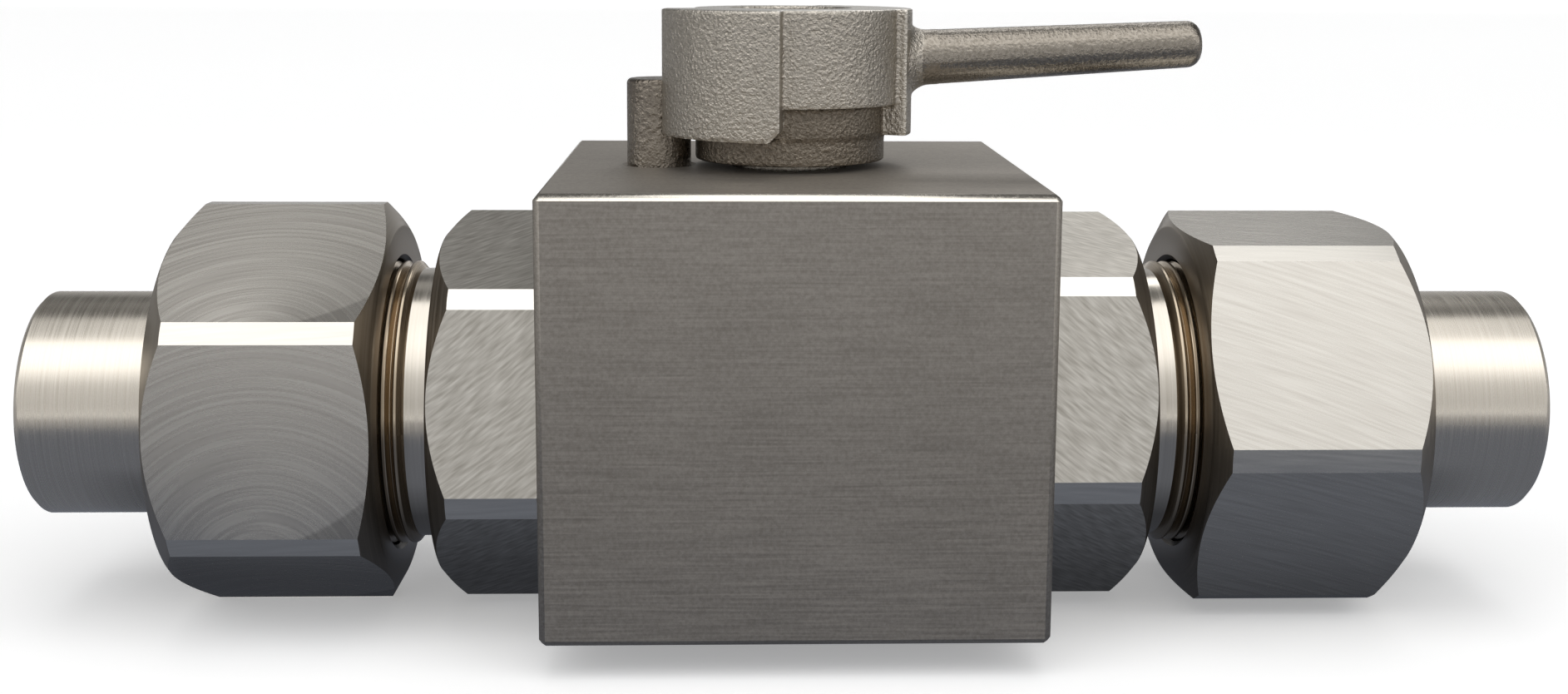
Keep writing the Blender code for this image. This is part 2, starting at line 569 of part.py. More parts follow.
def make_lever():
    """Make the cast lever: hub with two stop sectors and a raised front, and a round arm."""
    pin_angle = math.asin((PIN_RADIUS + CLEARANCE) / PIN_PLACE)
    stop_start = -math.pi + pin_angle
    pad_end = math.pi - pin_angle - TRAVEL
    points = [(HUB_LIFT, 0.0), (HUB_LIFT, HUB_RADIUS - HUB_ROUND), (HUB_LIFT + HUB_ROUND, HUB_RADIUS),
              (HUB_TOP - HUB_ROUND, HUB_RADIUS), (HUB_TOP, HUB_RADIUS - HUB_ROUND), (HUB_TOP, 0.0)]
    lever = piece("lever_handle", profile_mesh("lever_handle", points, False), "cast", BLOCK_TOP)
    turn(lever, LARGE_STEPS)
    lap = math.radians(4.0)
    sectors = (
        ("stop_sector", STOP_SECTOR_RADIUS, SECTOR_BOTTOM, stop_start, STOP_SECTOR_END),
        ("lever_pad", LEVER_PAD_RADIUS, SECTOR_BOTTOM, LEVER_PAD_END, pad_end),
        ("front_band", FRONT_BAND_RADIUS, FRONT_BAND_BOTTOM, STOP_SECTOR_END - lap, LEVER_PAD_END + lap),
    )
    for sector in sectors:
        boolean(lever, hub_sector(*sector), "UNION")

    arm_start = HUB_RADIUS * 0.8
    flare_start = LEVER_PAD_RADIUS - SECTOR_ROUND
    flare = [(flare_start + LEVER_FLARE_LENGTH * t,
              LEVER_ROOT_RADIUS + (LEVER_FLARE_RADIUS - LEVER_ROOT_RADIUS) * (1.0 - t) ** 2)
             for t in (0.0, 0.25, 0.5, 0.75, 1.0)]
    tip = arc(LEVER_LENGTH - LEVER_END_ROUND, LEVER_TIP_RADIUS - LEVER_END_ROUND, LEVER_END_ROUND,
              math.pi / 2.0, 0.0, 4)
    outline = [(arm_start, 0.0), (arm_start, LEVER_FLARE_RADIUS)] + flare + tip + [(LEVER_LENGTH, 0.0)]
    arm = cutter("lever_arm", profile_mesh("lever_arm", outline, False), BLOCK_TOP)
    turn(arm, SMALL_STEPS)
    arm.location.z = LEVER_START_HEIGHT
    arm.rotation_euler.y = math.pi / 2.0 - LEVER_RISE
    boolean(lever, arm, "UNION")

    half = SQUARE_HOLE / 2.0
    square = box_mesh("square_hole", (-half, -half, -HUB_TOP), (half, half, 2.0 * HUB_TOP))
    recess = rod_mesh("hub_recess", RECESS_RADIUS, HUB_FLOOR, 2.0 * HUB_TOP, SMALL_STEPS)
    for mesh in (square, recess):
        boolean(lever, cutter(mesh.name, mesh, BLOCK_TOP), "DIFFERENCE")


def make_stop_pin():
    """Make the stop pin that stands in its hole in the block's top."""
    points = [(-PIN_DEPTH, 0.0), (-PIN_DEPTH, PIN_RADIUS), (PIN_HEIGHT - PIN_CHAMFER, PIN_RADIUS),
              (PIN_HEIGHT, PIN_RADIUS - PIN_CHAMFER), (PIN_HEIGHT, 0.0)]
    pin = piece("stop_pin", profile_mesh("stop_pin", points, False), "cast", BLOCK_TOP)
    turn(pin, SMALL_STEPS)
    pin.location.x = -PIN_PLACE


def main():
    """Make every piece of the valve."""
    make_block()
    make_ball()
    make_stem()
    make_lever()
    make_stop_pin()
    ends = ((-1, "left", LEFT_ADAPTER_TILT, LEFT_NUT_TILT), (1, "right", RIGHT_ADAPTER_TILT, RIGHT_NUT_TILT))
    for side, side_name, adapter_tilt, nut_tilt in ends:
        make_adapter(side, side_name, adapter_tilt)
        make_seat(side, side_name)
        collar_end = make_nipple(side, side_name)
        make_union_nut(side, side_name, nut_tilt, collar_end)


main()
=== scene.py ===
"""Looks of the block ball valve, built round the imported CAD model.

Every length is in metres, in the row frame: the origin is the centre of the block's base
face, X runs along the pipe, -Y is the front and +Z runs up the stem.
"""

import json
import logging
import math
from contextlib import contextmanager
from dataclasses import dataclass
from enum import Enum
from typing import Any, Callable, Iterator

import bmesh
import bpy
from mathutils import Matrix, Vector


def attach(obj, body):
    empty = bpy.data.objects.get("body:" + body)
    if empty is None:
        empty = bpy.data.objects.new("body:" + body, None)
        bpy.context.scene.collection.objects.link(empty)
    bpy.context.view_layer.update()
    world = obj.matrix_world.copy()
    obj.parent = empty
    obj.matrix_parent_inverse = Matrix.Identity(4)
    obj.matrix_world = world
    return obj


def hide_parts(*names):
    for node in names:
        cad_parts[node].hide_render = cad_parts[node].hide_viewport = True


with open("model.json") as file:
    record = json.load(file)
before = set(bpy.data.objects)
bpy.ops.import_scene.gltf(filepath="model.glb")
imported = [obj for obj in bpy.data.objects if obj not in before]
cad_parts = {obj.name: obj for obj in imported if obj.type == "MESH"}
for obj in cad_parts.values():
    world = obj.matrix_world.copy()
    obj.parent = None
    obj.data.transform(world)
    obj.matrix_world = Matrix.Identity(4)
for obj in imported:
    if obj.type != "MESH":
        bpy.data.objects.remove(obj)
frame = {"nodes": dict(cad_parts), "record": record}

LOG = logging.getLogger("ball_valve")
MM = 0.001
AXIS_HEIGHT = 21.3 * MM
BLOCK_HEIGHT = 51.8 * MM
BORE_RADIUS = 10.0 * MM
FULL_TURN = 2.0 * math.pi
MERGE = 0.004 * MM
ORIGIN = Vector((0.0, 0.0, 0.0))
PIPE_CENTRE = Vector((0.0, 0.0, AXIS_HEIGHT))
X_WAY = Vector((1.0, 0.0, 0.0))
Z_WAY = Vector((0.0, 0.0, 1.0))

Point = tuple[float, float]
Place = tuple[float, float, float]
Piece = bpy.types.Object
Material = bpy.types.Material
Tree = bpy.types.NodeTree
Node = bpy.types.Node
Socket = bpy.types.NodeSocket


class Axis(Enum):
    """What a turned piece is turned about."""

    PIPE_LEFT = -1
    STEM = 0
    PIPE_RIGHT = 1


class Surface(Enum):
    """What left a face of an adapter or a nut as it is, in the order of its material slots."""

    FLAT = 0
    CORNER = 1
    TURNED = 2
    THREAD = 3
    POLISHED = 4
    # the nut's bore, painted dark as the shade inside it
    MOUTH = 5


# Modelling tools


def activate(piece: Piece) -> None:
    """Make one object the only one that operators act on.

    Args:
        piece: The object to work on.
    """
    if bpy.context.object and bpy.context.object.mode != "OBJECT":
        bpy.ops.object.mode_set(mode="OBJECT")
    bpy.ops.object.select_all(action="DESELECT")
    piece.select_set(True)
    bpy.context.view_layer.objects.active = piece


@contextmanager
def edit_mode(piece: Piece) -> Iterator[None]:
    """Work on one object's edges, with none of them selected at first.

    Args:
        piece: The object to edit.
    """
    activate(piece)
    bpy.ops.object.mode_set(mode="EDIT")
    bpy.ops.mesh.select_mode(type="EDGE")
    bpy.ops.mesh.select_all(action="DESELECT")
    yield
    bpy.ops.object.mode_set(mode="OBJECT")


def pick_edges(piece: Piece, wanted: Callable[[bmesh.types.BMEdge], bool]) -> None:
    """Select some edges of the mesh in edit mode.

    Args:
        piece: The object in edit mode.
        wanted: Says whether an edge is to be selected.
    """
    shell = bmesh.from_edit_mesh(piece.data)
    for edge in shell.edges:
        edge.select_set(wanted(edge))
    shell.select_flush_mode()
    bmesh.update_edit_mesh(piece.data)


def named(name: str) -> Piece:
    """Name the primitive that was just added, settle its place in its mesh and return it."""
    made = bpy.context.object
    made.name = name
    made.data.name = name
    bpy.ops.object.transform_apply(location=True, rotation=True, scale=True)
    return made


def apply_modifier(piece: Piece, kind: str, **settings: Any) -> None:
    """Add one modifier to a piece and apply it.

    Args:
        piece: The object to change.
        kind: The modifier's type.
        **settings: The modifier's own settings.
    """
    activate(piece)
    modifier = piece.modifiers.new(kind.lower(), kind)
    for setting, value in settings.items():
        setattr(modifier, setting, value)
    bpy.ops.object.modifier_apply(modifier=modifier.name)


def combine(piece: Piece, tool: Piece, operation: str = "DIFFERENCE") -> None:
    """Cut, trim or join a piece with a tool, which is used up.

    Args:
        piece: The object to change.
        tool: The closed mesh that cuts, trims or is joined.
        operation: DIFFERENCE, INTERSECT or UNION.
    """
    apply_modifier(piece, "BOOLEAN", object=tool, operation=operation, solver="EXACT")
    mesh = tool.data
    bpy.data.objects.remove(tool)
    bpy.data.meshes.remove(mesh)


def smooth(piece: Piece, degrees: float = 24.0) -> None:
    """Shade a piece smooth, apart from edges sharper than an angle."""
    activate(piece)
    bpy.ops.object.shade_smooth_by_angle(angle=math.radians(degrees))


def box(name: str, low: Place, high: Place) -> Piece:
    """Add a box between two corners.

    Args:
        name: The object's name.
        low: The lowest corner.
        high: The highest corner.

    Returns:
        The box.
    """
    bpy.ops.object.select_all(action="DESELECT")
    middle = [(a + b) / 2.0 for a, b in zip(low, high)]
    size = [b - a for a, b in zip(low, high)]
    bpy.ops.mesh.primitive_cube_add(size=1.0, location=middle, scale=size)
    return named(name)


def spin(piece: Piece, steps: int, angle: float, centre: Vector, way: Vector) -> None:
    """Spin an outline or a face into a closed solid that faces outwards.

    Args:
        piece: The object that holds it.
        steps: How many facets go round.
        angle: How far it goes round, in radians.
        centre: A point on the axis.
        way: The axis's direction.
    """
    with edit_mode(piece):
        bpy.ops.mesh.select_all(action="SELECT")
        bpy.ops.mesh.spin(steps=steps, angle=angle, center=centre, axis=way)
        bpy.ops.mesh.select_all(action="SELECT")
        bpy.ops.mesh.remove_doubles(threshold=MERGE)
        bpy.ops.mesh.normals_make_consistent(inside=False)


def turned(
    name: str,
    outline: list[Point],
    axis: Axis,
    steps: int = 192,
    centre: Vector = ORIGIN,
) -> Piece:
    """Turn a closed outline about the pipe or the stem axis.

    Args:
        name: The object's name.
        outline: (along, radius) corners of the half section.
        axis: What the outline is turned about, and which way along points.
        steps: How many facets go round.
        centre: The point on the axis that the heights are measured from.

    Returns:
        The turned piece, closed and facing outwards.
    """
    bpy.ops.object.select_all(action="DESELECT")
    bpy.ops.mesh.primitive_circle_add(vertices=len(outline), radius=1.0, fill_type="NOTHING")
    made = named(name)
    for vertex, (along, radius) in zip(made.data.vertices, outline):
        if axis is Axis.STEM:
            vertex.co = centre + Vector((radius, 0.0, along))
        else:
            vertex.co = centre + Vector((axis.value * along, 0.0, radius))
    spin(made, steps, FULL_TURN, centre, Z_WAY if axis is Axis.STEM else X_WAY)
    return made


def countersink(top: float, radius: float, size: float) -> list[Point]:
    """Return the last corners of a hole's outline: its wall, its broken edge and its axis."""
    return [(top - size, radius), (top + size, radius + 2.0 * size), (top + size, 0.0)]


def arc(middle: Point, radius: float, start: float, end: float, count: int) -> list[Point]:
    """Return points along an arc of an outline.

    Args:
        middle: The arc's centre, as (along, radius).
        radius: The arc's own radius.
        start: First angle in degrees; 0 points along the axis and 90 outwards.
        end: Last angle in degrees.
        count: How many straight pieces stand for the arc.

    Returns:
        count + 1 (along, radius) points.
    """
    angles = [math.radians(start + (end - start) * i / count) for i in range(count + 1)]
    return [(middle[0] + radius * math.cos(a), middle[1] + radius * math.sin(a)) for a in angles]


# Finishes


def linear(hex_colour: str) -> tuple[float, float, float, float]:
    """Turn an sRGB hex colour into the linear colour that shaders take.

    Args:
        hex_colour: Such as #8a8780.

    Returns:
        Red, green, blue and alpha.
    """
    parts = [int(hex_colour[i:i + 2], 16) / 255.0 for i in (1, 3, 5)]
    red, green, blue = (c / 12.92 if c <= 0.04045 else ((c + 0.055) / 1.055) ** 2.4 for c in parts)
    return red, green, blue, 1.0


def wire(node: Node, inputs: dict[Any, Any]) -> None:
    """Give a node's inputs their values and links.

    Args:
        node: The node.
        inputs: For each input, by name or number: a value, an output socket, or a node, whose
            first live output is linked.
    """
    for socket, value in inputs.items():
        if isinstance(value, Node):
            value = next(output for output in value.outputs if output.enabled)
        if isinstance(value, Socket):
            node.id_data.links.new(value, node.inputs[socket])
        else:
            node.inputs[socket].default_value = value


def add_node(tree: Tree, kind: str, inputs: dict[Any, Any] | None = None, **settings: Any) -> Node:
    """Add one node with its settings, values and links.

    Args:
        tree: The node tree it goes in.
        kind: The node's type.
        inputs: What its inputs get, as in wire.
        **settings: The node's own settings.

    Returns:
        The node.
    """
    made = tree.nodes.new(kind)
    for setting, value in settings.items():
        setattr(made, setting, value)
    wire(made, inputs or {})
    return made


def new_material(name: str, **sockets: Any) -> tuple[Material, Tree, Node]:
    """Start a material whose shader has some values of its own.

    Args:
        name: The material's name.
        **sockets: Values for the shader's sockets, with _ for a space in their names.

    Returns:
        The material, its tree and its Principled shader.
    """
    material = bpy.data.materials.new(name)
    material.use_nodes = True
    shader = material.node_tree.nodes["Principled BSDF"]
    wire(shader, {socket.replace("_", " "): value for socket, value in sockets.items()})
    return material, material.node_tree, shader


def fade(way: Any, start: float, end: float, low: Any, high: Any, curve: str = "LINEAR") -> Node:
    """Go from one colour to another as a number goes from its start to its end.

    Args:
        way: The node or socket that gives the number.
        start: The number where the first colour ends.
        end: The number where the second colour begins.
        low: The first colour, or the node that gives it.
        high: The second colour, or the node that gives it.
        curve: The way from one to the other, as the node names it.

    Returns:
        The node that gives the colour.
    """
    share = add_node(way.id_data, "ShaderNodeMapRange", {
        "Value": way, "From Min": start, "From Max": end}, interpolation_type=curve)
    return add_node(way.id_data, "ShaderNodeMix", {0: share, 6: low, 7: high}, data_type="RGBA")


def finish_metal(shader: Node, colour: Node, marks: Node, gloss: Point, strength: float,
                 depth: float, relief: Node | None = None) -> None:
    """Join a colour to a metal's shader, and let its marks set the gloss and the relief.

    Args:
        shader: The metal's shader.
        colour: The node that gives its colour.
        marks: The noise that draws its marks.
        gloss: The roughness where the noise is at 0.3 and at 0.7.
        strength: How much of the relief shows, up to 1.
        depth: How deep the relief is.
        relief: What raises it, if that isn't the marks alone.
    """
    dull = add_node(shader.id_data, "ShaderNodeMapRange", {
        "Value": marks, "From Min": 0.3, "From Max": 0.7, "To Min": gloss[0], "To Max": gloss[1]})
    bump = add_node(shader.id_data, "ShaderNodeBump", {
        "Height": relief or marks, "Strength": strength, "Distance": depth})
    wire(shader, {"Base Color": colour, "Roughness": dull, "Normal": bump})


@dataclass(frozen=True)
class PickledSteel:
    """Stainless bar, milled and pickled: dull warm grey, with a fine grain and faint scratches.

    The pickling takes the shine off, so the eye sees a flat satin grey that barely mirrors. The
    scales are marks a metre: scratches 10 mm long and 0.26 mm wide, a grain of 0.4 mm and clouds
    12 mm across.
    """

    name: str = "pickled_stainless_bar"
    light: str = "#b0aaa2"
    dark: str = "#8e8880"
    roughness: float = 0.56
    depth: float = 0.012 * MM
    scratches: Place = (100.0, 3800.0, 3800.0)
    grains: float = 2500.0
    clouds: float = 85.0
    cloud_share: float = 0.25

    def material(self) -> Material:
        """Build the material.

        Returns:
            The material.
        """
        material, tree, shader = new_material(self.name, Metallic=1.0)
        place = add_node(tree, "ShaderNodeTexCoord").outputs["Object"]
        along = add_node(tree, "ShaderNodeMapping", {"Vector": place, "Scale": self.scratches})
        scratch = add_node(tree, "ShaderNodeTexNoise", {
            "Vector": along, "Scale": 1.0, "Detail": 2.0})
        grain = add_node(tree, "ShaderNodeTexNoise", {
            "Vector": place, "Scale": self.grains, "Detail": 2.0, "Roughness": 0.7})
        cloud = add_node(tree, "ShaderNodeTexNoise", {
            "Vector": place, "Scale": self.clouds, "Detail": 2.0})
        height = add_node(tree, "ShaderNodeMath", {0: scratch, 1: grain}, operation="ADD")
        fine = add_node(tree, "ShaderNodeMapRange", {
            "Value": height, "From Min": 0.7, "From Max": 1.3})
        tone = add_node(tree, "ShaderNodeMix", {
            0: self.cloud_share, 2: fine, 3: cloud}, data_type="FLOAT")
        colour = add_node(tree, "ShaderNodeMix", {
            0: tone, 6: linear(self.dark), 7: linear(self.light)}, data_type="RGBA")
        finish_metal(shader, colour, scratch, (self.roughness - 0.04, self.roughness + 0.05), 0.5,
                     self.depth, height)
        return material


@dataclass(frozen=True)
class MilledSteel:
    """Stainless flats cut by a face mill: bright, with the fine arcs that its teeth leave.

    The arcs spread the highlights across themselves, so flats cut another way look another tone.
    sweep is the mill's centre and disc the middle and radius of its last pass, both on the flat.
    """

    name: str = "milled_stainless_flat"
    light: str = "#d5d1c9"
    dark: str = "#c4bfb7"
    roughness: float = 0.27
    sweep: Point = (-60.0 * MM, -48.0 * MM)
    spacing: float = 0.40 * MM
    streak: float = 12.0 * MM
    streak_reach: float = 50.0 * MM
    depth: float = 0.003 * MM
    disc: Place | None = None
    disc_edge: float = 0.2 * MM
    disc_shade: float = 0.72

    def material(self) -> Material:
        """Build the material.

        Returns:
            The material.
        """
        material, tree, shader = new_material(self.name, Metallic=1.0, Anisotropic=0.6)
        flat = add_node(tree, "ShaderNodeUVMap", uv_map="flat")
        offset = add_node(tree, "ShaderNodeVectorMath", {
            0: flat, 1: (*self.sweep, 0.0)}, operation="SUBTRACT")
        reach = add_node(tree, "ShaderNodeVectorMath", {0: offset}, operation="LENGTH")
        x, y, _ = add_node(tree, "ShaderNodeSeparateXYZ", {0: offset}).outputs
        angle = add_node(tree, "ShaderNodeMath", {0: x, 1: y}, operation="ARCTAN2")
        # one streak is a tooth pass wide, and has its length at streak_reach from the mill's centre
        across = add_node(tree, "ShaderNodeMath", {
            0: reach, 1: 1.0 / self.spacing}, operation="MULTIPLY")
        along = add_node(tree, "ShaderNodeMath", {
            0: angle, 1: self.streak_reach / self.streak}, operation="MULTIPLY")
        polar = add_node(tree, "ShaderNodeCombineXYZ", {0: across, 1: along})
        streak = add_node(tree, "ShaderNodeTexNoise", {
            "Vector": polar, "Scale": 1.0, "Detail": 1.0, "Roughness": 0.6})
        colour = fade(streak, 0.25, 0.75, linear(self.dark), linear(self.light))
        if self.disc:
            colour = self.past_disc(tree, flat, colour)
        finish_metal(shader, colour, streak, (self.roughness - 0.02, self.roughness + 0.02), 0.5,
                     self.depth)
        wire(shader, {"Tangent": self.across_arcs(tree, x, y)})
        return material

    def past_disc(self, tree: Tree, flat: Node, shade: Node) -> Node:
        """Darken what the mill's last pass, a disc, didn't reach.

        Args:
            tree: The material's tree.
            flat: The flat's own coordinates.
            shade: The flat's colour.

        Returns:
            The colour, darker outside the disc.
        """
        x, y, radius = self.disc
        reach = add_node(tree, "ShaderNodeVectorMath", {
            0: flat, 1: (x, y, 0.0)}, operation="DISTANCE")
        past = add_node(tree, "ShaderNodeMapRange", {
            "Value": reach, "From Min": radius - self.disc_edge,
            "From Max": radius + self.disc_edge, "To Min": 1.0, "To Max": self.disc_shade})
        return add_node(tree, "ShaderNodeVectorMath", {0: shade, "Scale": past}, operation="SCALE")

    def across_arcs(self, tree: Tree, x: Socket, y: Socket) -> Node:
        """Point the wide way of the highlights across the arcs.

        Args:
            tree: The material's tree.
            x: How far along the flat a point lies from the mill's centre.
            y: How far across the flat it lies from there.

        Returns:
            The direction.
        """
        normal = add_node(tree, "ShaderNodeNewGeometry").outputs["Normal"]
        side = add_node(tree, "ShaderNodeVectorMath", {
            0: normal, 1: X_WAY}, operation="CROSS_PRODUCT")
        out = add_node(tree, "ShaderNodeVectorMath", {0: side, "Scale": y}, operation="SCALE")
        along = add_node(tree, "ShaderNodeCombineXYZ", {0: x})
        return add_node(tree, "ShaderNodeVectorMath", {0: out, 1: along}, operation="ADD")


@dataclass(frozen=True)
class TurnedSteel:
    """Stainless turned on a lathe: fine rings round the axis that spread its highlights.

    The eye sees a bright satin band that runs the length of the piece.
    """

    name: str = "turned_stainless"
    light: str = "#e9e2d6"
    dark: str = "#d8d0c3"
    roughness: float = 0.30
    anisotropic: float = 0.9
    pitch: float = 0.35 * MM
    wander: float = 0.35
    depth: float = 0.003 * MM

    def material(self) -> Material:
        """Build the material.

        Returns:
            The material.
        """
        material, tree, shader = new_material(
            self.name, Metallic=1.0, Anisotropic=self.anisotropic)
        place = add_node(tree, "ShaderNodeTexCoord").outputs["Object"]
        x, y, z = add_node(tree, "ShaderNodeSeparateXYZ", {0: place}).outputs
        height = add_node(tree, "ShaderNodeMath", {0: z, 1: AXIS_HEIGHT}, operation="SUBTRACT")
        section = add_node(tree, "ShaderNodeCombineXYZ", {0: y, 1: height})
        radius = add_node(tree, "ShaderNodeVectorMath", {0: section}, operation="LENGTH")
        angle = add_node(tree, "ShaderNodeMath", {0: height, 1: y}, operation="ARCTAN2")
        ring = add_node(tree, "ShaderNodeCombineXYZ", {0: x, 1: radius})
        ring = add_node(tree, "ShaderNodeVectorMath", {
            0: ring, "Scale": 1.0 / self.pitch}, operation="SCALE")
        # the rings wander a little as they go round
        turn = add_node(tree, "ShaderNodeMath", {0: angle, 1: self.wander}, operation="MULTIPLY")
        lift = add_node(tree, "ShaderNodeCombineXYZ", {2: turn})
        ring = add_node(tree, "ShaderNodeVectorMath", {0: ring, 1: lift}, operation="ADD")
        marks = add_node(tree, "ShaderNodeTexNoise", {
            "Vector": ring, "Scale": 1.0, "Detail": 3.0, "Roughness": 0.65})
        colour = fade(marks, 0.3, 0.7, linear(self.dark), linear(self.light))
        finish_metal(shader, colour, marks, (self.roughness - 0.06, self.roughness + 0.07), 0.6,
                     self.depth)
        wire(shader, {"Tangent": add_node(tree, "ShaderNodeCombineXYZ", {0: 1.0})})
        return material


@dataclass(frozen=True)
class CastSteel:
    """Investment-cast stainless, blasted: a pebbled matt skin, lighter on its edges.

    The eye sees grains of light and shade in a dull grey, and a pale line on the edges, partly
    where hands have rubbed them and partly a painted highlight.
    """

    name: str = "investment_cast_stainless"
    skin: str = "#bfb8ad"
    hollow: str = "#aaa398"
    rubbed: str = "#e0dacf"
    roughness: float = 0.31
    pebble: float = 0.42 * MM
    depth: float = 0.24 * MM

    def material(self) -> Material:
        """Build the material.

        Returns:
            The material.
        """
        material, tree, shader = new_material(self.name, Metallic=1.0)
        place = add_node(tree, "ShaderNodeTexCoord").outputs["Object"]
        pebble = add_node(tree, "ShaderNodeTexNoise", {
            "Vector": place, "Scale": 1.0 / self.pebble, "Detail": 2.0, "Roughness": 0.6})
        colour = fade(pebble, 0.32, 0.62, linear(self.hollow), linear(self.skin))
        # convex edges are lighter: partly rubbed wear, partly a painted highlight
        bend = add_node(tree, "ShaderNodeNewGeometry").outputs["Pointiness"]
        worn = fade(bend, 0.515, 0.57, colour, linear(self.rubbed))
        finish_metal(shader, worn, pebble, (self.roughness + 0.08, self.roughness - 0.06), 1.0,
                     self.depth)
        return material


@dataclass(frozen=True)
class PlainFinish:
    """A finish with one fine noise in its tone, such as acetal, nitrile rubber or spring steel."""

    name: str
    light: str
    dark: str
    roughness: float
    metallic: float = 0.0
    grain: float = 0.4 * MM
    depth: float = 0.01 * MM

    def material(self) -> Material:
        """Build the material.

        Returns:
            The material.
        """
        material, tree, shader = new_material(
            self.name, Metallic=self.metallic, Roughness=self.roughness)
        place = add_node(tree, "ShaderNodeTexCoord").outputs["Object"]
        grain = add_node(tree, "ShaderNodeTexNoise", {
            "Vector": place, "Scale": 1.0 / self.grain, "Detail": 3.0})
        colour = add_node(tree, "ShaderNodeMix", {
            0: grain, 6: linear(self.dark), 7: linear(self.light)}, data_type="RGBA")
        bump = add_node(tree, "ShaderNodeBump", {
            "Height": grain, "Strength": 0.3, "Distance": self.depth})
        wire(shader, {"Base Color": colour, "Normal": bump})
        return material


# Sub-assemblies


def mount(piece: Piece, body: str, slot: str, *nodes: str) -> None:
    """Tie a finished piece to its CAD body, and hide the CAD nodes that it stands for.

    Args:
        piece: The finished piece.
        body: The CAD body that it moves with.
        slot: The record's material slot. Not used.
        *nodes: The CAD nodes that it replaces.
    """
    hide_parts(*nodes)
    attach(piece, body)
    LOG.info("%s: %d faces, on %s", piece.name, len(piece.data.polygons), body)


def dress(piece: Piece, *materials: Material) -> None:
    """Give a piece its materials, in the order of its slots, and keep each face's slot."""
    slots = piece.data.materials
    for number, material in enumerate(materials):
        if number < len(slots):
            slots[number] = material
        else:
            slots.append(material)


@dataclass
class ValveBlock:
    """The square block with its cross bore, stem bore and pin hole.

    The depths of the holes are from the top, and the pocket's top is above the pipe's axis.
    """

    length: float = 58.4 * MM
    depth: float = 62.0 * MM
    edge: float = 0.75 * MM
    cross_bore: float = 17.2 * MM
    pocket: float = 9.3 * MM
    pocket_top: float = 21.7 * MM
    stem_bore: float = 7.3 * MM
    pin_hole: float = 4.3 * MM
    pin_floor: float = 8.0 * MM
    pin_place: float = 16.4 * MM
    mouth: float = 0.35 * MM

    def build(self) -> Piece:
        """Model the block.

        Returns:
            The block.
        """
        low = (-self.length / 2.0, -self.depth / 2.0, 0.0)
        high = (self.length / 2.0, self.depth / 2.0, BLOCK_HEIGHT)
        block = box("valve_block", low, high)
        with edit_mode(block):
            bpy.ops.mesh.select_all(action="SELECT")
            bpy.ops.mesh.bevel(offset=self.edge, segments=2, profile=0.32, affect="EDGES")
        reach = self.length
        cross = [(-reach, 0.0), (-reach, self.cross_bore), (reach, self.cross_bore), (reach, 0.0)]
        combine(block, turned("cross_bore", cross, Axis.PIPE_RIGHT, 128, PIPE_CENTRE))
        pocket_top = AXIS_HEIGHT + self.pocket_top
        stem = [(AXIS_HEIGHT, 0.0), (AXIS_HEIGHT, self.pocket), (pocket_top, self.pocket),
                (pocket_top, self.stem_bore)]
        stem += countersink(BLOCK_HEIGHT, self.stem_bore, self.mouth)
        combine(block, turned("stem_bore", stem, Axis.STEM, 96))
        floor = BLOCK_HEIGHT - self.pin_floor
        pin = [(floor, 0.0), (floor, self.pin_hole)]
        pin += countersink(BLOCK_HEIGHT, self.pin_hole, self.mouth)
        place = Vector((-self.pin_place, 0.0, 0.0))
        combine(block, turned("pin_hole", pin, Axis.STEM, 96, place))
        smooth(block, 35.0)
        # the top edge bevels take the second material, painted near white as a highlight line
        for face in block.data.polygons:
            inset = zip((self.length / 2.0, self.depth / 2.0), face.center)
            beside = any(limit - abs(at) < self.edge for limit, at in inset)
            face.material_index = int(beside and face.center.z > BLOCK_HEIGHT - self.edge)
        return block

    def make(self, finish: PickledSteel, rubbed: CastSteel) -> None:
        """Build, dress and mount the block, its top edges rubbed and painted bright as a highlight
        line.
        """
        block = self.build()
        dress(block, finish.material(), rubbed.material())
        mount(block, "valve", "block_steel", "valve_body")


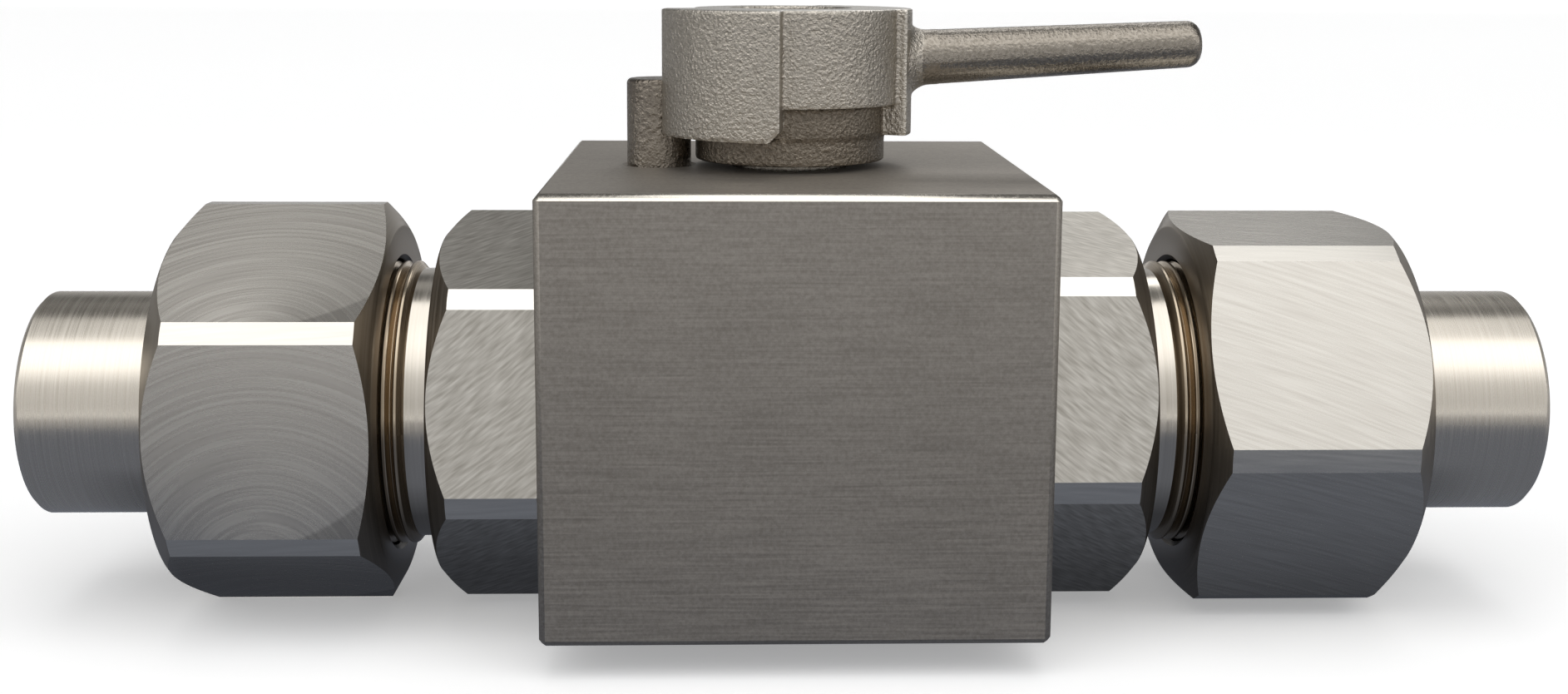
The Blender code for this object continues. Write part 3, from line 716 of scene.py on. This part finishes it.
@dataclass
class HexagonPiece:
    """What the adapters and the nuts share: a turned blank with a hexagon milled on it."""

    side: Axis
    tilt: float
    across_flats: float = 43.6 * MM
    across_corners: float = 48.7 * MM
    slack: float = 0.05 * MM
    bore_radius: float = 16.2 * MM

    def radii(self) -> Point:
        """Return the blank's radius, past the corners, and its ends' radius, inside the flats."""
        return self.across_corners / 2.0 + 0.3 * MM, self.across_flats / 2.0 - 0.2 * MM

    def bar(self) -> Piece:
        """Model the hexagon bar with narrow corner flats that trims the blank.

        Returns:
            The bar, along the whole pipe.
        """
        bpy.ops.object.select_all(action="DESELECT")
        radius = self.across_flats / 2.0 / math.cos(math.pi / 6.0)
        bpy.ops.mesh.primitive_cylinder_add(vertices=6, radius=radius, depth=200.0 * MM)
        bar = named("hexagon_bar")
        lie = Matrix.Rotation(math.pi / 2.0, 4, "Y")
        lie = Matrix.Rotation(math.radians(30.0 - self.tilt), 4, "X") @ lie
        bar.data.transform(Matrix.Translation(PIPE_CENTRE) @ lie)
        cut = radius - self.across_corners / 2.0
        with edit_mode(bar):
            pick_edges(bar, lambda e: abs(e.verts[0].co.x - e.verts[1].co.x) > 100.0 * MM)
            bpy.ops.mesh.bevel(offset=2.0 * cut * math.tan(math.pi / 3.0), offset_type="WIDTH",
                               segments=1, affect="EDGES")
        return bar

    def sort_faces(self, piece: Piece, thread: Point | None = None) -> None:
        """Give every face the slot of the tool that cut it, and lay the flats out in a UV map.

        Args:
            piece: The milled piece.
            thread: Where the thread starts and ends along the pipe, if it has one.
        """
        mesh = piece.data
        layout = mesh.uv_layers.new(name="flat")
        for face in mesh.polygons:
            normal, middle = face.normal, face.center - PIPE_CENTRE
            reach = middle.dot(normal) - self.across_flats / 2.0
            lean = math.degrees(math.atan2(normal.z, -normal.y)) - self.tilt
            to_flat = abs((lean + 30.0) % 60.0 - 30.0)
            kind = Surface.TURNED
            if abs(normal.x) < 0.02 and reach > -self.slack:
                if to_flat < 1.0 and reach < self.slack:
                    kind = Surface.FLAT
                elif to_flat > 29.0:
                    kind = Surface.CORNER
            outside = middle.yz.length > self.bore_radius
            if thread and thread[0] < abs(middle.x) < thread[1] and outside:
                kind = Surface.THREAD
            face.material_index = kind.value
            across = normal.cross(X_WAY)
            for loop in face.loop_indices:
                corner = mesh.vertices[mesh.loops[loop].vertex_index].co - PIPE_CENTRE
                layout.data[loop].uv = (corner.x, corner.dot(across))


@dataclass
class EndAdapter(HexagonPiece):
    """A screwed-in end adapter: hexagon, polished neck and threaded nose."""

    foot: float = 29.5 * MM
    hexagon: float = 13.6 * MM
    chamfer_slope: float = 0.90
    foot_chamfer: float = 0.7 * MM
    neck: float = 3.4 * MM
    neck_radius: float = 17.0 * MM
    crest: float = 17.9 * MM
    root: float = 16.95 * MM
    pitch: float = 1.45 * MM
    thread: float = 17.0 * MM
    seal: float = 25.2 * MM
    seal_half: float = 1.2 * MM
    seal_radius: float = 14.8 * MM
    plug_end: float = 11.3 * MM
    plug_radius: float = 16.9 * MM
    cone_mouth: float = 15.0 * MM
    cone_depth: float = 7.5 * MM
    cone_slope: float = math.tan(math.radians(12.0))
    pocket: float = 14.6 * MM
    pocket_end: float = 16.3 * MM

    def outline(self) -> list[Point]:
        """Return the half section, outer side first.

        Returns:
            (along, radius) points.
        """
        blank, flat = self.radii()
        chamfer = (blank - flat) * self.chamfer_slope
        end = self.foot + self.hexagon
        start = end + self.neck
        finish = start + self.thread
        seal_start, seal_end = self.seal - self.seal_half, self.seal + self.seal_half
        points = [
            (self.plug_end, self.plug_radius - 0.4 * MM),
            (self.plug_end + 0.4 * MM, self.plug_radius),
            (seal_start, self.plug_radius), (seal_start, self.seal_radius),
            (seal_end, self.seal_radius), (seal_end, self.plug_radius),
            (self.foot, self.plug_radius), (self.foot, blank - self.foot_chamfer),
            (self.foot + self.foot_chamfer, blank), (end - chamfer, blank), (end, flat),
        ]
        points += [(end, self.neck_radius + 0.35 * MM), (end + 0.35 * MM, self.neck_radius),
                   (start - 0.25 * MM, self.neck_radius)]
        shoulder = self.crest - 0.06 * MM
        profile = ((0.30, shoulder), (0.38, self.crest), (0.56, self.crest), (0.64, shoulder),
                   (0.96, self.root), (1.00, self.root))
        ridge = start
        while ridge + self.pitch < finish - 0.6 * MM:
            points += [(ridge + share * self.pitch, radius) for share, radius in profile]
            ridge += self.pitch
        cone_end = finish - self.cone_depth
        return points + [
            (finish - 0.8 * MM, self.root), (finish, self.root - 0.6 * MM),
            (finish, self.cone_mouth),
            (cone_end, self.cone_mouth - self.cone_depth * self.cone_slope),
            (cone_end, BORE_RADIUS), (self.pocket_end, BORE_RADIUS),
            (self.pocket_end, self.pocket), (self.plug_end, self.pocket),
        ]

    def make(self, hand: str, materials: list[Material]) -> None:
        """Build, dress and mount the adapter.

        Args:
            hand: left or right, as in the CAD node's name.
            materials: One material for each Surface.
        """
        adapter = turned("adapter_" + hand, self.outline(), self.side, 192, PIPE_CENTRE)
        combine(adapter, self.bar(), "INTERSECT")
        start = self.foot + self.hexagon + self.neck
        self.sort_faces(adapter, (start, start + self.thread))
        dress(adapter, *materials)
        for face in adapter.data.polygons:
            radius = (face.center - PIPE_CENTRE).yz.length
            if start - self.neck < abs(face.center.x) < start and radius < self.neck_radius + MM:
                face.material_index = Surface.POLISHED.value
        smooth(adapter)
        mount(adapter, "valve", "milled_steel", "end_adapter_" + hand)


@dataclass
class UnionNut(HexagonPiece):
    """A union nut: long hexagon, chamfered at both ends, with a smaller hole at the pipe end."""

    across_flats: float = 45.4 * MM
    across_corners: float = 50.8 * MM
    inner_face: float = 49.1 * MM
    length: float = 26.6 * MM
    inner_slope: float = 0.60
    outer_slope: float = 0.93
    bore: float = 18.2 * MM
    hole: float = 14.3 * MM
    shoulder: float = 85.12 * MM

    def outline(self) -> list[Point]:
        """Return the half section, outer side first.

        Returns:
            (along, radius) points.
        """
        blank, flat = self.radii()
        near, far = self.inner_face, self.inner_face + self.length
        rise = blank - flat
        return [
            (near, self.bore + 0.55 * MM), (near, flat - 0.25 * MM), (near + 0.1 * MM, flat),
            (near + rise * self.inner_slope, blank), (far - rise * self.outer_slope, blank),
            (far - 0.1 * MM, flat), (far, flat - 0.25 * MM),
            (far, self.hole + 0.35 * MM), (far - 0.35 * MM, self.hole),
            (self.shoulder - self.hole, self.hole), (self.shoulder - self.bore, self.bore),
            (near + 0.55 * MM, self.bore),
        ]

    def make(self, hand: str, materials: list[Material]) -> None:
        """Build, dress and mount the nut.

        Args:
            hand: left or right, as in the CAD node's name.
            materials: One material for each Surface.
        """
        nut = turned("nut_" + hand, self.outline(), self.side, 192, PIPE_CENTRE)
        combine(nut, self.bar(), "INTERSECT")
        self.sort_faces(nut)
        # the bore faces inside the nut get the mouth slot, painted dark as the shade inside the nut
        for face in nut.data.polygons:
            radius = (face.center - PIPE_CENTRE).yz.length
            if abs(face.center.x) < self.shoulder and radius < self.bore + MM:
                face.material_index = Surface.MOUTH.value
        dress(nut, *materials)
        smooth(nut)
        mount(nut, "nut_" + hand, "milled_steel", "union_nut_" + hand)


@dataclass
class WeldNipple:
    """A weld nipple: coned nose and collar inside the nut, plain pipe end outside."""

    side: Axis
    radius: float = 14.0 * MM
    end: float = 93.4 * MM
    chamfer: float = 0.6 * MM
    nose: float = 56.3 * MM
    nose_radius: float = 13.17 * MM
    collar: float = 16.6 * MM
    collar_start: float = 64.5 * MM
    collar_length: float = 3.0 * MM
    cone_slope: float = math.tan(math.radians(12.0))

    def outline(self) -> list[Point]:
        """Return the half section, outer side first.

        Returns:
            (along, radius) points.
        """
        cone_end = self.nose_radius + (self.collar_start - self.nose) * self.cone_slope
        pipe = self.collar_start + self.collar_length + self.collar - self.radius
        return [
            (self.nose, self.nose_radius), (self.collar_start, cone_end),
            (self.collar_start, self.collar), (self.collar_start + self.collar_length, self.collar),
            (pipe, self.radius), (self.end - self.chamfer - 0.1 * MM, self.radius),
            (self.end - self.chamfer, self.radius - 0.05 * MM),
            (self.end - 0.05 * MM, self.radius - self.chamfer),
            (self.end, self.radius - self.chamfer - 0.1 * MM),
            (self.end, BORE_RADIUS + 0.3 * MM), (self.end - 0.3 * MM, BORE_RADIUS),
            (self.nose, BORE_RADIUS),
        ]

    def make(self, hand: str, material: Material) -> None:
        """Build, dress and mount the nipple.

        Args:
            hand: left or right, as in the CAD node's name.
            material: The turned finish.
        """
        nipple = turned("nipple_" + hand, self.outline(), self.side, 192, PIPE_CENTRE)
        dress(nipple, material)
        smooth(nipple)
        mount(nipple, "valve", "turned_steel", "weld_nipple_" + hand)


@dataclass
class CastLever:
    """The cast lever: a hub with two stop sectors and a raised front, and a round arm.

    Heights are above the block's top. Angles are in degrees about the stem, 0 along the arm.
    """

    lift: float = 0.8 * MM
    top: float = 19.6 * MM
    radius: float = 12.1 * MM
    stop_radius: float = 16.5 * MM
    stop_start: float = -164.8
    stop_end: float = -96.0
    collar_radius: float = 11.85 * MM
    collar_top: float = 4.0 * MM
    pad_radius: float = 15.2 * MM
    pad_start: float = -22.0
    pad_end: float = 74.8
    sector_bottom: float = 4.1 * MM
    band_radius: float = 13.9 * MM
    band_bottom: float = 7.9 * MM
    corner_cut: float = 1.3 * MM
    recess_radius: float = 7.4 * MM
    recess_depth: float = 4.2 * MM
    arm_height: float = 12.6 * MM
    arm_rise: float = 3.05
    arm_length: float = 51.6 * MM
    root_radius: float = 3.45 * MM
    tip_radius: float = 2.93 * MM
    flare_radius: float = 4.7 * MM
    flare_length: float = 2.4 * MM
    end_round: float = 1.7 * MM
    skin: float = 0.26 * MM
    square_half: float = 5.3 * MM
    recess_edge: float = 0.3 * MM
    band_overlap: float = 4.0

    def sector(self, name: str, radius: float, bottom: float, start: float, end: float) -> Piece:
        """Model one raised sector of the hub: a face spun part of the way round the stem.

        Args:
            name: The object's name.
            radius: Its outer radius.
            bottom: Its lower face.
            start: First angle.
            end: Last angle.

        Returns:
            The sector.
        """
        inner, base = 0.7 * self.radius, BLOCK_HEIGHT
        bpy.ops.object.select_all(action="DESELECT")
        bpy.ops.mesh.primitive_plane_add(size=1.0)
        made = named(name)
        corners = ((inner, bottom), (radius, bottom), (inner, self.top), (radius, self.top))
        turn = Matrix.Rotation(math.radians(start), 3, "Z")
        for vertex, (out, height) in zip(made.data.vertices, corners):
            vertex.co = turn @ Vector((out, 0.0, base + height))
        steps = max(4, round((end - start) / 3.0))
        spin(made, steps, math.radians(start - end), ORIGIN, Z_WAY)
        return made

    def build(self) -> Piece:
        """Model the lever: join its forms, remesh them to one cast skin, then machine it.

        Returns:
            The lever.
        """
        base = BLOCK_HEIGHT
        top = base + self.top
        collar_top = base + self.collar_top
        hub = [(base + self.lift, 0.0), (base + self.lift, self.collar_radius),
               (collar_top, self.collar_radius), (collar_top + 0.2 * MM, self.radius),
               (top, self.radius), (top, 0.0)]
        lever = turned("cast_lever", hub, Axis.STEM, 128)
        stop = self.sector(
            "stop", self.stop_radius, self.sector_bottom, self.stop_start, self.stop_end)
        combine(stop, self.corner())
        pad = self.sector("pad", self.pad_radius, self.sector_bottom, self.pad_start, self.pad_end)
        band = self.sector("band", self.band_radius, self.band_bottom,
                           self.stop_end - self.band_overlap, self.pad_start + self.band_overlap)
        for form in (stop, pad, band, self.arm("root", self.arm_root())):
            combine(lever, form, "UNION")
        apply_modifier(lever, "REMESH", mode="VOXEL", voxel_size=self.skin, adaptivity=0.0)
        apply_modifier(lever, "SMOOTH", factor=0.5, iterations=3)
        combine(lever, self.arm("bar", self.arm_bar()), "UNION")
        floor = top - self.recess_depth
        recess = [(floor, 0.0), (floor, self.recess_radius)]
        recess += countersink(top, self.recess_radius, self.recess_edge)
        combine(lever, turned("recess", recess, Axis.STEM, 96))
        half = self.square_half
        combine(lever, box("square_hole", (-half, -half, base), (half, half, top + MM)))
        smooth(lever, 40.0)
        # Faces below the band round the collar take slot 1, painted dark as the shade under the
        # band; the flat top rim takes slot 2, painted lighter as a highlight on its ground face;
        # the arm takes slot 3, painted darker as shade.
        ledge = base + self.band_bottom
        for face in lever.data.polygons:
            low = face.center.z < ledge and face.center.xy.length < self.radius + 0.2 * MM
            rim = face.normal.z > 0.8 and face.center.z > top - 0.4 * MM
            arm = face.center.xy.length > self.stop_radius + 0.2 * MM
            face.material_index = 3 if arm else 2 if rim else int(low)
        return lever

    def corner(self) -> Piece:
        """Model the square bar on edge that cuts off the stop sector's lower front corner.

        Returns:
            The bar.
        """
        half = self.corner_cut / math.sqrt(2.0)
        bar = box("corner", (0.0, -half, -half), (2.0 * self.stop_radius, half, half))
        lie = Matrix.Rotation(math.pi / 4.0, 4, "X")
        lie = Matrix.Rotation(math.radians(self.stop_end), 4, "Z") @ lie
        bar.data.transform(Matrix.Translation((0.0, 0.0, BLOCK_HEIGHT + self.sector_bottom)) @ lie)
        return bar

    def arm_root(self) -> list[Point]:
        """Return the half section of the arm's flared root, which is cast with the hub.

        Returns:
            (along, radius) points.
        """
        start, flare = 9.7 * MM, 14.75 * MM
        end = flare + self.flare_length + 1.6 * MM
        swell = self.flare_radius - self.root_radius
        curve = [(flare + self.flare_length * t, self.root_radius + swell * (1.0 - t) ** 2)
                 for t in (0.0, 0.2, 0.4, 0.6, 0.8, 1.0)]
        return [(start, 0.0), (start, self.flare_radius), *curve, (end, self.root_radius),
                (end, 0.0)]

    def arm_bar(self) -> list[Point]:
        """Return the half section of the arm's tapered bar, from its root to its rounded tip.

        Returns:
            (along, radius) points.
        """
        start = 15.5 * MM
        outline = [(start, 0.0), (start, self.root_radius)]
        outline += arc((self.arm_length - self.end_round, self.tip_radius - self.end_round),
                       self.end_round, 90.0, 0.0, 6)
        return outline + [(self.arm_length, 0.0)]

    def arm(self, name: str, outline: list[Point]) -> Piece:
        """Turn one part of the round arm and tip it up by the arm's rise.

        Args:
            name: The object's name.
            outline: Its half section.

        Returns:
            The part.
        """
        arm = turned(name, outline, Axis.PIPE_RIGHT, 96)
        tip = Matrix.Rotation(math.radians(-self.arm_rise), 4, "Y")
        arm.data.transform(Matrix.Translation((0.0, 0.0, BLOCK_HEIGHT + self.arm_height)) @ tip)
        return arm

    def make(self, *finishes: CastSteel) -> None:
        """Build, dress and mount the lever.

        Args:
            *finishes: The finish of the hub; of its collar, painted dark as shade; of its top rim,
                       ground and painted light as a highlight; and of the arm, painted darker as
                       shade.
        """
        lever = self.build()
        dress(lever, *(finish.material() for finish in finishes))
        mount(lever, "handle", "cast_steel", "lever_handle")


@dataclass
class StopPin:
    """The stop pin that stands in the block's top."""

    radius: float = 4.0 * MM
    height: float = 10.8 * MM
    depth: float = 7.7 * MM
    chamfer: float = 0.6 * MM
    place: float = 16.4 * MM

    def make(self, material: Material) -> None:
        """Build, dress and mount the pin."""
        top = BLOCK_HEIGHT + self.height
        outline = [(BLOCK_HEIGHT - self.depth, 0.0), (BLOCK_HEIGHT - self.depth, self.radius)]
        outline += arc((top - self.chamfer, self.radius - self.chamfer), self.chamfer, 90.0, 0.0, 5)
        outline.append((top, 0.0))
        pin = turned("guide_pin", outline, Axis.STEM, 96, Vector((-self.place, 0.0, 0.0)))
        dress(pin, material)
        smooth(pin)
        mount(pin, "valve", "cast_steel", "stop_pin")


@dataclass
class CarriedOver:
    """The CAD nodes whose shapes are right as they are, with a finish for each material slot."""

    slots: dict[str, Material]

    def make(self) -> None:
        """Give every CAD node that still shows the material of its slot."""
        slot_of = {row["node"]: row["material_slot"] for row in frame["record"]["subparts"]}
        for name, node in frame["nodes"].items():
            if node.hide_render:
                continue
            dress(node, self.slots[slot_of[name]])
            LOG.info("%s: carried over", name)


@dataclass(frozen=True)
class PipeEnd:
    """What differs between the two ends: how each hexagon is turned and how it was milled."""

    hand: str
    side: Axis
    adapter_tilt: float
    nut_tilt: float
    nut_sweep: Point
    nut_streak: float
    adapter_sweep: Point
    adapter_roughness: float
    disc: Place | None = None


PIPE_ENDS = (
    PipeEnd("left", Axis.PIPE_LEFT, adapter_tilt=12.5, nut_tilt=1.2,
            nut_sweep=(-62.0 * MM, -17.0 * MM), nut_streak=60.0 * MM,
            adapter_sweep=(-120.0 * MM, 105.0 * MM), adapter_roughness=0.30,
            disc=(-68.0 * MM, 14.4 * MM, 27.9 * MM)),
    PipeEnd("right", Axis.PIPE_RIGHT, adapter_tilt=16.8, nut_tilt=27.0,
            nut_sweep=(-20.0 * MM, -225.0 * MM), nut_streak=2.0 * MM,
            adapter_sweep=(120.0 * MM, 105.0 * MM), adapter_roughness=0.40),
)


# Stage


@dataclass(frozen=True)
class Zone:
    """Where one colour of the dark card gives way to the next."""

    start: float
    end: float
    colour: str
    curve: str = "SMOOTHSTEP"


@dataclass
class Studio:
    """The pale floor with its glowing dark card for painted reflections, the light all round, one
    lamp behind and the camera.

    The two lists of light hold (degrees over the front horizon, brightness) pairs, where 1 is
    white: one for straight ahead and behind, one for the sides.
    """

    floor_height: float = -4.12 * MM
    floor_half: float = 12.0
    floor_lift: float = 0.30
    lens: float = 42.146
    place: Place = (-7.93 * MM, -230.42 * MM, 76.955 * MM)
    yaw: float = 1.813
    pitch: float = 8.664
    roll: float = 0.319
    shift: float = -126.0 / 1885.0
    middle_light: tuple[Point, ...] = (
        (0.0, 0.8), (10.0, 0.62), (34.0, 0.92), (48.0, 1.5), (62.0, 1.75), (105.0, 1.75),
        (108.0, 0.32), (118.0, 0.16), (126.0, 0.4), (134.0, 0.4), (140.0, 0.15), (148.0, 0.15),
        (158.0, 0.42), (176.0, 0.40), (180.0, 1.2))
    side_light: tuple[Point, ...] = (
        (0.0, 0.62), (30.0, 0.62), (52.0, 1.75), (76.0, 1.75), (83.0, 0.3), (95.0, 0.12),
        (150.0, 0.12), (180.0, 0.5))
    side_middle: float = 0.05
    side_span: Point = (0.27, 0.37)
    lamp_place: Place = (0.078, 0.215, 0.235)
    lamp_aim: Place = (0.036, 0.0, 0.043)
    lamp_size: Point = (0.14, 0.08)
    lamp_level: float = 1.9
    # the dark card glows and shows only in the metal's reflections, as a painted reflection;
    # card_under darkens it under the valve as painted shade
    card_low: Point = (-3.0, -0.5)
    card_high: Point = (3.0, 3.0)
    card_lift: float = 0.06 * MM
    card_half: float = 67.0 * MM
    card_colour: str = "#6b707b"
    card_under: Zone = Zone(26.0 * MM, 10.0 * MM, "#3d4047", "LINEAR")
    card_far: Zone = Zone(80.0 * MM, 165.0 * MM, "#a3a3a5")
    card_behind: Zone = Zone(0.4, 0.7, "#48484a")

    def camera(self) -> None:
        """Stand the camera where the photograph was taken from."""
        lens = bpy.data.cameras.new("camera")
        lens.lens = self.lens
        lens.sensor_width = 36.0
        lens.sensor_fit = "HORIZONTAL"
        lens.shift_y = self.shift
        lens.clip_start = 10.0 * MM
        camera = bpy.data.objects.new("camera", lens)
        bpy.context.scene.collection.objects.link(camera)
        camera.matrix_world = (
            Matrix.Translation(self.place)
            @ Matrix.Rotation(math.radians(-self.yaw), 4, "Z")
            @ Matrix.Rotation(math.radians(90.0 - self.pitch), 4, "X")
            @ Matrix.Rotation(math.radians(self.roll), 4, "Z"))
        bpy.context.scene.camera = camera

    def lamp(self) -> None:
        """Hang one soft box behind the valve; its level is how bright its face looks."""
        light = bpy.data.lights.new("back_box", "AREA")
        light.shape = "RECTANGLE"
        light.size, light.size_y = self.lamp_size
        light.energy = self.lamp_level * math.pi * self.lamp_size[0] * self.lamp_size[1]
        lamp = bpy.data.objects.new("back_box", light)
        bpy.context.scene.collection.objects.link(lamp)
        lamp.location = self.lamp_place
        back = Vector(self.lamp_place) - Vector(self.lamp_aim)
        lamp.rotation_euler = back.to_track_quat("Z", "Y").to_euler()
        lamp.visible_camera = False

    def ramp(self, tree: Tree, factor: Node, stops: tuple[Point, ...]) -> Node:
        """Look a brightness up by the angle over the front horizon.

        Args:
            tree: The world's tree.
            factor: The angle, as a share of a half turn.
            stops: (degrees, brightness) pairs.

        Returns:
            The node that gives half the brightness, which keeps every stop under 1.
        """
        bar = add_node(tree, "ShaderNodeValToRGB", {0: factor})
        elements = bar.color_ramp.elements
        while len(elements) < len(stops):
            elements.new(1.0)
        for element, (degrees, level) in zip(elements, stops):
            element.position = degrees / 180.0
            element.color = (level / 2.0, level / 2.0, level / 2.0, 1.0)
        return bar

    def world(self) -> None:
        """Hang the light all round: a wide box overhead, dim behind, pale low in front."""
        world = bpy.data.worlds.new("studio")
        bpy.context.scene.world = world
        world.use_nodes = True
        tree = world.node_tree
        way = add_node(tree, "ShaderNodeTexCoord").outputs["Generated"]
        x, y, z = add_node(tree, "ShaderNodeSeparateXYZ", {0: way}).outputs
        ahead = add_node(tree, "ShaderNodeMath", {0: y, 1: -1.0}, operation="MULTIPLY")
        rise = add_node(tree, "ShaderNodeMath", {0: z, 1: ahead}, operation="ARCTAN2")
        turn = add_node(tree, "ShaderNodeMath", {0: rise, 1: 1.0 / math.pi}, operation="MULTIPLY")
        middle = self.ramp(tree, turn, self.middle_light)
        sides = self.ramp(tree, turn, self.side_light)
        side = add_node(tree, "ShaderNodeMath", {0: x, 1: self.side_middle}, operation="SUBTRACT")
        side = add_node(tree, "ShaderNodeMath", {0: side}, operation="ABSOLUTE")
        colour = fade(side, *self.side_span, middle, sides, "SMOOTHSTEP")
        wire(tree.nodes["Background"], {"Color": colour, "Strength": 2.0})

    def plane(self, name: str, low: Point, high: Point, height: float) -> Piece:
        """Lay a flat stage sheet.

        Args:
            name: The sheet's name.
            low: Its lowest corner.
            high: Its highest corner.
            height: How high it lies.

        Returns:
            The sheet.
        """
        bpy.ops.object.select_all(action="DESELECT")
        middle = ((low[0] + high[0]) / 2.0, (low[1] + high[1]) / 2.0, height)
        bpy.ops.mesh.primitive_plane_add(size=1.0, location=middle)
        sheet = bpy.context.object
        sheet.scale = (high[0] - low[0], high[1] - low[1], 1.0)
        sheet = named(name)
        return sheet

    def floor(self) -> None:
        """Lay the pale floor that the nuts rest on, lifted to white where it is seen."""
        half = self.floor_half
        floor = self.plane("floor", (-half, -half), (half, half), self.floor_height)
        material, tree, shader = new_material("matt_paper", Roughness=0.9)
        rays = add_node(tree, "ShaderNodeLightPath").outputs
        seen = rays["Is Camera Ray"]
        for ray in ("Is Glossy Ray", "Is Transmission Ray"):
            seen = add_node(tree, "ShaderNodeMath", {0: seen, 1: rays[ray]}, operation="MAXIMUM")
        lift = add_node(tree, "ShaderNodeMath", {0: seen, 1: self.floor_lift}, operation="MULTIPLY")
        wire(shader, {"Base Color": linear("#f4f4f4"), "Emission Color": linear("#ffffff"),
                      "Emission Strength": lift})
        dress(floor, material)

    def card(self) -> None:
        """Lay a glowing dark cool card under and before the valve, seen only in reflections: a
        painted reflection for its lower flats, painted darker still right under the valve as shade.
        """
        card = self.plane("dark_card", self.card_low, self.card_high,
                          self.floor_height + self.card_lift)
        material = bpy.data.materials.new("dark_card")
        material.use_nodes = True
        tree = material.node_tree
        tree.nodes.clear()
        place = add_node(tree, "ShaderNodeTexCoord").outputs["Object"]
        x, y, _ = add_node(tree, "ShaderNodeSeparateXYZ", {0: place}).outputs
        side = add_node(tree, "ShaderNodeMath", {0: x}, operation="ABSOLUTE")
        past_end = add_node(tree, "ShaderNodeMath", {
            0: side, 1: self.card_half}, operation="SUBTRACT")
        reach = add_node(tree, "ShaderNodeMath", {0: y}, operation="ABSOLUTE")
        reach = add_node(tree, "ShaderNodeMath", {0: reach, 1: past_end}, operation="MAXIMUM")
        colour = linear(self.card_colour)
        # the card is darkest right under the valve, as painted shade in the reflections, paler far
        # off and dark again behind
        for way, zone in ((reach, self.card_under), (reach, self.card_far), (y, self.card_behind)):
            colour = fade(way, zone.start, zone.end, colour, linear(zone.colour), zone.curve)
        glow = add_node(tree, "ShaderNodeEmission", {"Color": colour, "Strength": 1.0})
        add_node(tree, "ShaderNodeOutputMaterial", {0: glow})
        dress(card, material)
        card.visible_camera = False
        card.visible_diffuse = False
        card.visible_shadow = False

    def make(self) -> None:
        """Set the stage."""
        self.camera()
        self.world()
        self.lamp()
        self.floor()
        self.card()
        bpy.context.scene.view_settings.view_transform = "Standard"


def main() -> None:
    """Build the valve's looks in order, then the stage."""
    logging.basicConfig(level=logging.INFO, format="%(name)s %(message)s")
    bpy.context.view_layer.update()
    bpy.context.scene.cursor.location = (0.0, 0.0, 0.0)
    turned_steel = TurnedSteel(anisotropic=0.7, roughness=0.27).material()
    chamfer = TurnedSteel("turned_chamfer", "#a89f93", "#8f877b", 0.34, 0.3).material()
    thread = TurnedSteel("cut_thread", "#cfc0aa", "#a09280", 0.22, 0.2).material()
    # the nut's bore finish is painted dark, as the shade inside the nut
    mouth = TurnedSteel("oiled_nut_bore", "#4a433b", "#332e28", 0.4, 0.2).material()
    neck = TurnedSteel(
        "polished_neck", "#d9d2c7", "#c9c2b6", 0.20, 0.3, depth=0.001 * MM).material()
    corner = MilledSteel("milled_corner", "#e2ded6", "#d6d2ca", 0.20, sweep=(0.0, -900.0 * MM),
                         spacing=0.5 * MM, streak=0.5 * MM).material()
    # the block's top edges are rubbed and painted near white as a highlight line
    ValveBlock().make(PickledSteel(), CastSteel(
        "rubbed_edge", skin="#eeeae3", hollow="#b9b4ab", roughness=0.22, depth=0.006 * MM))
    for end in PIPE_ENDS:
        flat = MilledSteel("milled_nut_flat_" + end.hand, sweep=end.nut_sweep,
                           streak=end.nut_streak, disc=end.disc).material()
        coarse = MilledSteel("milled_adapter_flat_" + end.hand, dark="#aaa59c",
                             roughness=end.adapter_roughness, sweep=end.adapter_sweep,
                             streak=1.1 * MM, depth=0.03 * MM).material()
        EndAdapter(end.side, end.adapter_tilt).make(
            end.hand, [coarse, corner, chamfer, thread, neck])
        UnionNut(end.side, end.nut_tilt).make(
            end.hand, [flat, corner, chamfer, thread, neck, mouth])
        WeldNipple(end.side).make(end.hand, turned_steel)
    # the collar and the arm are painted darker as shade, the top rim lighter as a highlight
    CastLever().make(
        CastSteel(),
        CastSteel("dull_collar", skin="#8b8276", hollow="#6f675c", rubbed="#a79e92"),
        CastSteel("ground_rim", skin="#dedad3", hollow="#d2cdc5", roughness=0.3, depth=0.02 * MM),
        CastSteel("worn_arm", "#9d968c", "#878076", "#a59e94", roughness=0.25, depth=0.10 * MM))
    StopPin().make(CastSteel("rough_pin_steel", "#857d73", "#5c554d", "#8f877c", roughness=0.30,
                             pebble=0.6 * MM).material())
    CarriedOver({
        "turned_steel": turned_steel,
        "ball_steel": TurnedSteel("polished_ball", "#dad8d4", "#cfccc7", roughness=0.08,
                                  depth=0.001 * MM).material(),
        "seat_plastic": PlainFinish("natural_acetal", "#e9e5da", "#dcd7ca", 0.45).material(),
        "seal_rubber": PlainFinish("black_nitrile", "#262627", "#171718", 0.55).material(),
        "spring_steel": PlainFinish(
            "dark_spring_steel", "#6b6762", "#4e4b47", 0.34, metallic=1.0).material(),
    }).make()
    Studio().make()


if __name__ == "__main__":
    main()
